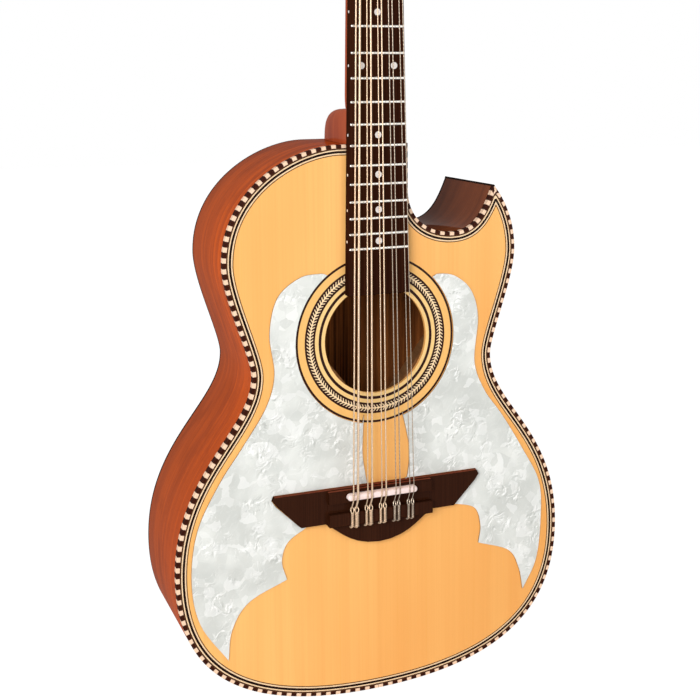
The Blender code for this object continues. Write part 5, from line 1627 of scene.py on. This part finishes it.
@dataclass
class Machines:
    """The open tuning machines: plates, bushings, posts with gears, worms and buttons."""

    shop: Workshop
    plate_thickness: float = 0.0012
    post_radius: float = 0.0031
    post_front: float = 0.0175
    groove_share: float = 0.45
    groove_half: float = 0.0042
    post_foot: float = 0.0014
    teeth: int = 14
    gear_radius: float = 0.0056
    gear_thickness: float = 0.0042
    worm_radius: float = 0.00265
    worm_core: float = 0.00155
    worm_outer: float = 0.00325
    ear: float = 0.0054
    ear_thickness: float = 0.0012
    button_start: float = 0.0445
    button_length: float = 0.0170
    button_thick: float = 0.0040
    button_wide: float = 0.0086
    tooth: tuple = ((0.50, 0.0046), (0.40, 0.00475), (0.24, 0.0060), (0.16, 0.00628))
    bushing: tuple = ((0.0, 0.0034), (0.0, 0.0050), (0.0004, 0.0050), (0.0010, 0.0045), (0.0011, 0.0036),
                      (0.0008, 0.0034))
    screw: tuple = ((-0.001, 0.0018), (0.0, 0.0018), (0.0005, 0.0014), (0.0007, 0.0006))
    gear_screw: tuple = ((0.0008, 0.0023), (0.0014, 0.0017), (0.0016, 0.0006))
    collar: tuple = ((-0.0030, 0.0028), (-0.0004, 0.0030), (0.0002, 0.0027))
    screw_reach: float = 0.0066
    screw_rise: float = 0.0092

    @staticmethod
    def places() -> list[tuple[Side, int, float, float]]:
        """List the machines: side, number from the nut, X and height on the head."""
        return [(side, n, side.value * LAY.post_reach, LAY.first_post + (n - 1) * LAY.post_pitch)
                for side in Side for n in range(1, 6)]

    @property
    def plate_back(self) -> float:
        """Give the depth of the plates' outer face behind the head's face."""
        return LAY.head_thickness + LAY.gap + self.plate_thickness

    @property
    def gear_y(self) -> float:
        """Give the gears' middle depth behind the head's face."""
        return self.plate_back + self.worm_outer + LAY.gap

    @property
    def lead(self) -> float:
        """Give how far the worm's thread runs in one turn: one tooth of the gear."""
        return 2 * math.pi * self.gear_radius / self.teeth

    @property
    def distance(self) -> float:
        """Give the distance between a worm's axis and its gear's."""
        return self.gear_radius + self.worm_radius

    def build(self) -> None:
        """Make all the machines."""
        for side in Side:
            name = side.name.lower()
            plate = self.shop.copied(f"tuner_plate_{name}")
            self.shop.keep(f"machine_plate_{name}", plate, Finish.BRASS, replaces=[f"tuner_plate_{name}"],
                           bevel=0.00022)
        self.make_small_parts()
        for side, number, x, z in self.places():
            to_head = LAY.head_frame() @ Matrix.Translation((x, 0, z))
            self.make_post(f"{side.name.lower()}_{number}", to_head)
            self.make_key(f"{side.name.lower()}_{number}", side, to_head)

    def make_small_parts(self) -> None:
        """Make the bushings on the face and the screws on the plates."""
        bushings, screws = bmesh.new(), bmesh.new()
        forward, backward = (Matrix.Rotation(turn, 4, "X") for turn in (math.pi / 2, -math.pi / 2))
        for _, number, x, z in self.places():
            ring = self.shop.turned(self.bushing, 28)
            self.shop.join(bushings, ring, Matrix.Translation((x, LAY.head_face, z)) @ forward)
            for offset in (-self.screw_reach, self.screw_reach) if number < 5 else ():
                head = self.shop.turned(self.screw, 16)
                spot = Matrix.Translation((x + offset, self.plate_back, z + self.screw_rise))
                self.shop.join(screws, head, spot @ backward)
        for name, parts, look in (("face_bushings", bushings, Finish.NICKEL),
                                  ("plate_screws", screws, Finish.BRASS)):
            self.shop.place(parts, LAY.head_frame())
            self.shop.keep(name, parts, look)

    def make_post(self, name: str, to_head: Matrix) -> None:
        """Make one string post with its gear and the gear's screw.

        Args:
            name: the machine's side and number.
            to_head: moves the post's own frame to its place.
        """
        front = LAY.head_face - self.post_front
        groove = front + self.post_front * self.groove_share
        back = self.gear_y - self.gear_thickness / 2
        r = self.post_radius
        waist = [(groove + self.groove_half * i / 6, r * (1 - 0.18 * (1 - abs(i / 6)) ** 1.3))
                 for i in range(-6, 7)]
        profile = [(front, r * 0.55), (front + 0.0003, r * 0.80), (front + 0.0009, r), *waist,
                   (back + self.post_foot, r)]
        turn = Matrix.Rotation(-math.pi / 2, 4, "X")
        post = self.shop.place(self.shop.turned(profile, 28), to_head @ turn)
        self.shop.keep(f"pin_{name}", post, Finish.NICKEL, body=f"post_{name}", replaces=[f"post_{name}"])
        rings = [self.gear_ring(back + self.gear_thickness * share) for share in (0.0, 0.5, 1.0)]
        gear = self.shop.place(self.shop.loft(rings), to_head)
        self.shop.keep(f"gear_{name}", gear, Finish.BRASS, body=f"post_{name}", bevel=0.00012)
        cap_y = self.gear_thickness / 2
        cap = self.shop.turned([(0.0, self.gear_screw[0][1]), *((cap_y + rise, radius) for rise, radius
                                                                in self.gear_screw)], 20)
        self.shop.place(cap, to_head @ Matrix.Translation((0, self.gear_y, 0)) @ turn)
        self.shop.keep(f"gear_screw_{name}", cap, Finish.NICKEL, body=f"post_{name}")

    def gear_ring(self, y: float) -> list[tuple[float, float, float]]:
        """Draw the gear's section, turned with the teeth's lean.

        Args:
            y: its depth behind the head's face.

        Returns:
            The section's places.
        """
        pitch = 2 * math.pi / self.teeth
        lean = self.lead / (2 * math.pi * self.worm_radius) / self.gear_radius
        flank = [(-share, radius) for share, radius in self.tooth]
        flank += list(reversed(self.tooth))
        ring = []
        for tooth in range(self.teeth):
            middle = (tooth + 0.5) * pitch - lean * (y - self.gear_y)
            for share, radius in flank:
                angle = middle + share * pitch / 2 - math.pi / 2
                ring.append((radius * math.cos(angle), y, radius * math.sin(angle)))
        return ring

    def make_key(self, name: str, side: Side, to_head: Matrix) -> None:
        """Make one worm with its shaft, and the pearl button on it.

        Args:
            name: the machine's side and number.
            side: the side that the button is on.
            to_head: moves the post's own frame to its place.
        """
        to_axis = to_head @ Matrix.Translation((0, self.gear_y, -self.distance))
        start = self.button_start - LAY.post_reach
        flip = Matrix.Scale(side.value, 4, (1, 0, 0))
        far, core = -self.ear - self.ear_thickness / 2, self.worm_core
        profile = [(far - 0.001, core * 0.7), (far - 0.0007, core), (start - 0.0036, core)]
        profile += [(start + reach, radius) for reach, radius in self.collar]
        along = Matrix.Rotation(math.pi / 2, 4, "Y")
        shaft = self.shop.place(self.shop.turned(profile, 24), flip @ along)
        self.shop.loft(self.thread_rings(), shaft)
        self.shop.place(shaft, to_axis)
        self.shop.keep(f"worm_{name}", shaft, Finish.NICKEL, body=f"key_{name}", replaces=[f"key_{name}"])
        button = self.shop.place(self.shop.loft(self.button_rings(start)), to_axis @ flip)
        self.shop.keep(f"button_{name}", button, Finish.PEARL, body=f"key_{name}", bevel=0.0004, angle=50)

    def thread_rings(self, turns: float = 2.0, steps: int = 48) -> list[list[tuple[float, float, float]]]:
        """Draw the sections of the worm's thread, low at both ends.

        Args:
            turns: the turns of the thread.
            steps: the steps of the whole run.

        Returns:
            The sections along the thread.
        """
        core = self.worm_core
        rings = []
        for i in range(steps + 1):
            share = turns * (i - steps / 2) / steps
            angle = 2 * math.pi * share
            crest = core + (self.worm_outer - core) * (0.45 if i in (0, steps) else 1.0)
            section = ((core * 0.8, -0.21), (crest * 0.97, -0.115), (crest, -0.07), (crest, 0.07),
                       (crest * 0.97, 0.115), (core * 0.8, 0.21))
            rings.append([((share + offset) * self.lead, -math.sin(angle) * radius, math.cos(angle) * radius)
                          for radius, offset in section])
        return rings

    def button_rings(self, start: float, steps: int = 14) -> list[list[tuple[float, float, float]]]:
        """Draw the sections of the oval button.

        Args:
            start: where it starts along the shaft.
            steps: the steps along it.

        Returns:
            The sections from the shaft outward.
        """
        rings = []
        for i in range(steps + 1):
            share = i / steps
            swell = math.sin(math.pi * min(1.0, 0.12 + 0.80 * share)) ** 0.55
            belly = 0.62 + 0.38 * math.sin(math.pi * share)
            flat = max(0.0022, self.button_thick * belly * (1.0 if share < 0.93 else 0.72))
            tall = max(0.0026, self.button_wide * swell * (1.0 if share < 0.97 else 0.86))
            reach = start + self.button_length * share
            angles = [2 * math.pi * k / 36 for k in range(36)]
            rings.append([(reach, flat * math.cos(a) * (abs(math.sin(a)) * 0.15 + 0.85), tall * math.sin(a))
                          for a in angles])
        return rings


@dataclass
class Strings:
    """The ten strings with their tied ends and the turns round the posts."""

    shop: Workshop
    radii: tuple[float, ...] = (0.00062, 0.00095, 0.00050, 0.00078, 0.00045, 0.00060, 0.00040, 0.00042,
                                0.00034, 0.00034)
    course_saddle: float = 0.0119
    course_nut: float = 0.0067
    pair_saddle: float = 0.0035
    pair_nut: float = 0.0027
    tie_front: float = 0.0125
    tie_length: float = 0.0100
    tie_height: float = 0.0108
    hole_height: float = 0.0079
    tie_gap: float = 0.0006
    bend: float = 0.0005
    turns: int = 2
    turn_steps: int = 28
    saddle_bend: tuple = ((-0.0016, 0.0003), (-0.0006, 0.0))
    saddle_run: float = 0.0025
    nut_clearance: float = 0.0004
    wind_gap: float = 0.0006
    twist_turns: float = 4.0

    def places(self) -> list[tuple[float, float]]:
        """List where the strings cross the saddle and the nut.

        Returns:
            Each string's X at the saddle and at the nut.
        """
        pairs = [(course - 2, half) for course in range(5) for half in (-0.5, 0.5)]
        return [(course * self.course_saddle + half * self.pair_saddle,
                 course * self.course_nut + half * self.pair_nut) for course, half in pairs]

    def tie(self, x: float, radius: float) -> list[Vector]:
        """Lead the loop over the tie block and back through its bore.

        Args:
            x: the string's X at the saddle.
            radius: the string's radius.

        Returns:
            The places of the loop.
        """
        front = LAY.saddle_z - self.tie_front
        back = front - self.tie_length
        over = self.tie_height + self.tie_gap + radius
        behind = self.tie_gap + radius
        places = [(-over, front - self.bend), (-over, front - self.tie_length / 2), (-over, back + self.bend)]
        middle, rise = (over + self.hole_height) / 2, (over - self.hole_height) / 2
        places += [(-middle - rise * math.cos(a), back - behind * math.sin(a) * 1.15)
                   for a in [math.pi * i / 8 for i in range(1, 8)]]
        places += [(-self.hole_height, back + 2 * self.bend), (-self.hole_height, front - self.bend)]
        return [Vector((x, LAY.face_y + depth, z)) for depth, z in places]

    def path(self, number: int) -> list[Vector]:
        """List one string's places from its tie to the last turn round its post.

        Args:
            number: the string's number from the bass side.

        Returns:
            The places.
        """
        radius = self.radii[number - 1]
        saddle_x, nut_x = self.places()[number - 1]
        points = self.tie(saddle_x, radius)
        nut_rise = Board.thickness + LAY.gap + Board.fret_height + self.nut_clearance + radius
        top = Bridge.saddle_height + LAY.gap + radius
        slope = (top - nut_rise) / LAY.scale_length
        for shift, drop in (*self.saddle_bend, (self.saddle_run, slope * self.saddle_run)):
            points.append(Vector((saddle_x, LAY.face_y - top + drop, LAY.saddle_z + shift)))
        points.append(Vector((nut_x, LAY.face_y - nut_rise, LAY.nut_z)))
        points.append(Vector((nut_x, LAY.face_y - nut_rise + 0.0002, LAY.nut_z + LAY.nut_thickness)))
        return points + self.winding(number, points[-1], radius)

    def winding(self, number: int, entry: Vector, radius: float) -> list[Vector]:
        """List the turns round the post.

        Args:
            number: the string's number.
            entry: the place where it leaves the nut.
            radius: the string's radius.

        Returns:
            The places of the turns.
        """
        own = [m for m in Machines.places() if m[0] is (Side.BASS if number <= 5 else Side.TREBLE)]
        _, _, post_x, post_z = own[number - 1 if number <= 5 else 10 - number]
        reach = Machines.post_radius + self.wind_gap + radius
        sign = 1 if post_x < 0 else -1
        climb = 2 * radius + self.wind_gap
        groove = LAY.head_face - Machines.post_front * (1 - Machines.groove_share)
        first = groove - climb * self.turns / 2
        head = LAY.head_frame()
        start = head.inverted() @ entry
        post = Vector((post_x, post_z))
        away = post - Vector((start.x, start.z))
        tangent = math.sqrt(away.length_squared - reach ** 2)
        aim = away.normalized()
        across = Vector((aim.y, -aim.x)) * sign
        touch = Vector((start.x, start.z)) + (aim * tangent + across * reach) * (tangent / away.length)
        begin = Vector((1, 0)).angle_signed(touch - post, 0.0)
        made = []
        for i in range(self.turns * self.turn_steps + 1):
            turn = -begin - sign * 2 * math.pi * i / self.turn_steps
            place = post + Vector((math.cos(turn), math.sin(turn))) * reach
            made.append(head @ Vector((place.x, first + climb * i / self.turn_steps, place.y)))
        return made

    def build(self) -> None:
        """Make the strings and the twisted ends on the tie block."""
        for number in range(1, 11):
            radius = self.radii[number - 1]
            wire = self.shop.sweep(self.path(number), self.shop.circle(radius, 12))
            look = Finish.WOUND if number < 7 else Finish.PLAIN_WIRE
            self.shop.keep(f"wire_{number}", wire, look, replaces=[f"string_{number}"], angle=80)
            self.make_twist(number, look)

    def make_twist(self, number: int, look: Finish) -> None:
        """Make the twisted end that lies on the tie block, with its eye at the front.

        Args:
            number: the string's number.
            look: its finish.
        """
        radius = self.radii[number - 1]
        x = self.places()[number - 1][0]
        strand = 0.00036 + 0.12 * radius
        coil = radius + strand * 0.9
        front = LAY.saddle_z - self.tie_front + 0.0006
        back = front - self.tie_length - 0.0010
        y = LAY.face_y - self.tie_height - self.tie_gap - radius
        thin, steps = self.shop.circle(strand, 7), 60
        twist = None
        for phase in (0.0, math.pi):
            path = []
            for i in range(steps + 1):
                angle = phase + 2 * math.pi * self.twist_turns * i / steps
                path.append(Vector((x + coil * math.cos(angle), y + coil * math.sin(angle) * 0.9,
                                    front + (back - front) * i / steps)))
            twist = self.shop.sweep(path, thin, bm=twist)
        eye = []
        for i in range(25):
            angle = math.pi * (0.15 + 1.70 * i / 24)
            out, up = math.sin(angle), math.cos(angle)
            eye.append(Vector((x + out * (radius + 0.0006), y + 0.0004 + 0.0008 * up,
                               front + 0.0018 + 0.0022 * up)))
        self.shop.sweep(eye, thin, bm=twist)
        tail = [Vector((x + aside, y + sunk, back + rise)) for aside, sunk, rise in
                ((coil * 0.3, 0.0, 0.0006), (0.0001, 0.0004, -0.0006), (-0.0007, 0.0012, -0.0012),
                 (-0.0013, 0.0020, -0.0010))]
        self.shop.sweep(tail, self.shop.circle(strand * 1.2, 8), Vector((1, 0, 0)), twist)
        self.shop.keep(f"twist_{number}", twist, look, angle=80)


@dataclass
class Studio:
    """The pale floor, the lamps and the camera of the photograph."""

    lens: float = 63.40
    eye: tuple[float, float, float] = (-0.35844, -0.92941, 0.5017)
    yaw: float = math.radians(22.07)
    pitch: float = math.radians(-4.09)
    roll: float = math.radians(-0.382)
    centre: tuple[float, float] = (375.30, 162.80)
    frame_size: float = 700.0
    fill: float = 0.32
    floor_half: float = 6.0
    floor_drop: float = 0.0002
    floor_grey: float = 0.88
    floor_glow: float = 1.16
    glow_share: float = 0.88
    white: tuple[float, ...] = (1, 1, 1, 1)
    sensor: float = 36.0
    target: tuple[float, float, float] = (0, 0, 0.30)
    lamps: tuple = (("key_lamp", (-1.7, -1.9, 1.2), (1.2, 1.3), 52.0),
                    ("fill_lamp", (0.9, -2.2, 0.7), (1.2, 1.6), 10.0))

    def build(self) -> None:
        """Make the studio."""
        self.make_floor()
        self.make_world()
        self.make_lamps()
        self.make_camera()

    def make_floor(self) -> None:
        """Lay the floor, which stays pale for the camera and keeps a soft shadow."""
        bm = bmesh.new()
        bmesh.ops.create_grid(bm, x_segments=2, y_segments=2, size=self.floor_half)
        bmesh.ops.translate(bm, verts=bm.verts, vec=(0, 0, -self.floor_drop))
        floor = placed("floor", mesh_of("floor", bm))
        paint = Paint("pale_floor", Roughness=0.9, Base_Color=(*[self.floor_grey] * 3, 1))
        glow = paint.node("ShaderNodeEmission", None, {"Color": self.white, "Strength": self.floor_glow})
        shade = Value(paint, paint.shader.outputs[0])
        share = self.seen_rays(paint) * self.glow_share
        mixed = paint.node("ShaderNodeMixShader", None, {0: share, 1: shade, 2: glow})
        paint.link(mixed, paint.tree.nodes["Material Output"].inputs["Surface"])
        floor.data.materials.append(paint.material)

    @staticmethod
    def seen_rays(graph: Graph) -> Value:
        """Add up the camera, mirror and glass rays.

        Args:
            graph: the node tree that asks.

        Returns:
            1 for a ray of these kinds and 0 for others.
        """
        path = graph.node("ShaderNodeLightPath").socket.node.outputs
        kinds = ("Is Camera Ray", "Is Glossy Ray", "Is Transmission Ray")
        camera, mirror, glass = (Value(graph, path[name]) for name in kinds)
        return (camera + mirror + glass).math("MINIMUM", 1.0)

    def make_world(self) -> None:
        """Make the white surround: white where it is seen, and a plain fill on the object."""
        world = bpy.data.worlds.new("studio")
        world.use_nodes = True
        bpy.context.scene.world = world
        graph = Graph(world.node_tree)
        ground = graph.tree.nodes["Background"]
        ground.inputs["Color"].default_value = self.white
        inputs = {"Value": self.seen_rays(graph), "To Min": self.fill, "To Max": 1.0}
        graph.link(graph.node("ShaderNodeMapRange", None, inputs), ground.inputs["Strength"])

    def make_lamps(self) -> None:
        """Hang a wide key lamp and a weak fill."""
        for name, place, size, power in self.lamps:
            data = bpy.data.lights.new(name, "AREA")
            data.shape = "RECTANGLE"
            data.size, data.size_y = size
            data.energy = power
            lamp = placed(name, data)
            lamp.location = place
            aim = Vector(self.target) - Vector(place)
            lamp.rotation_euler = aim.to_track_quat("-Z", "Y").to_euler()

    def make_camera(self) -> None:
        """Set the camera where the photograph was taken, with the picture's shift."""
        flat = math.cos(self.pitch)
        look = Vector((math.sin(self.yaw) * flat, math.cos(self.yaw) * flat, math.sin(self.pitch)))
        level = Vector((math.cos(self.yaw), -math.sin(self.yaw), 0.0))
        upright = level.cross(look)
        c, s = math.cos(self.roll), math.sin(self.roll)
        right, up = level * c + upright * s, upright * c - level * s
        data = bpy.data.cameras.new("camera")
        data.sensor_width = self.sensor
        data.lens = self.lens
        data.shift_x = (self.frame_size / 2 - self.centre[0]) / self.frame_size
        data.shift_y = (self.centre[1] - self.frame_size / 2) / self.frame_size
        camera = placed("camera", data)
        turn = Matrix((right, up, -look)).transposed().to_4x4()
        camera.matrix_world = Matrix.Translation(self.eye) @ turn
        bpy.context.scene.camera = camera
        bpy.context.scene.view_settings.view_transform = "Standard"


def main() -> None:
    """Build every sub-assembly in order."""
    shop = Workshop()
    board = Board(shop)
    for part in (Studio(), Body(shop, Outline()), Guards(shop), Bridge(shop), board, Neck(shop, board),
                 Machines(shop), Strings(shop)):
        LOG.info("%s", type(part).__name__)
        part.build()
    LOG.info("%d new pieces", shop.count)


if __name__ == "__main__":
    main()
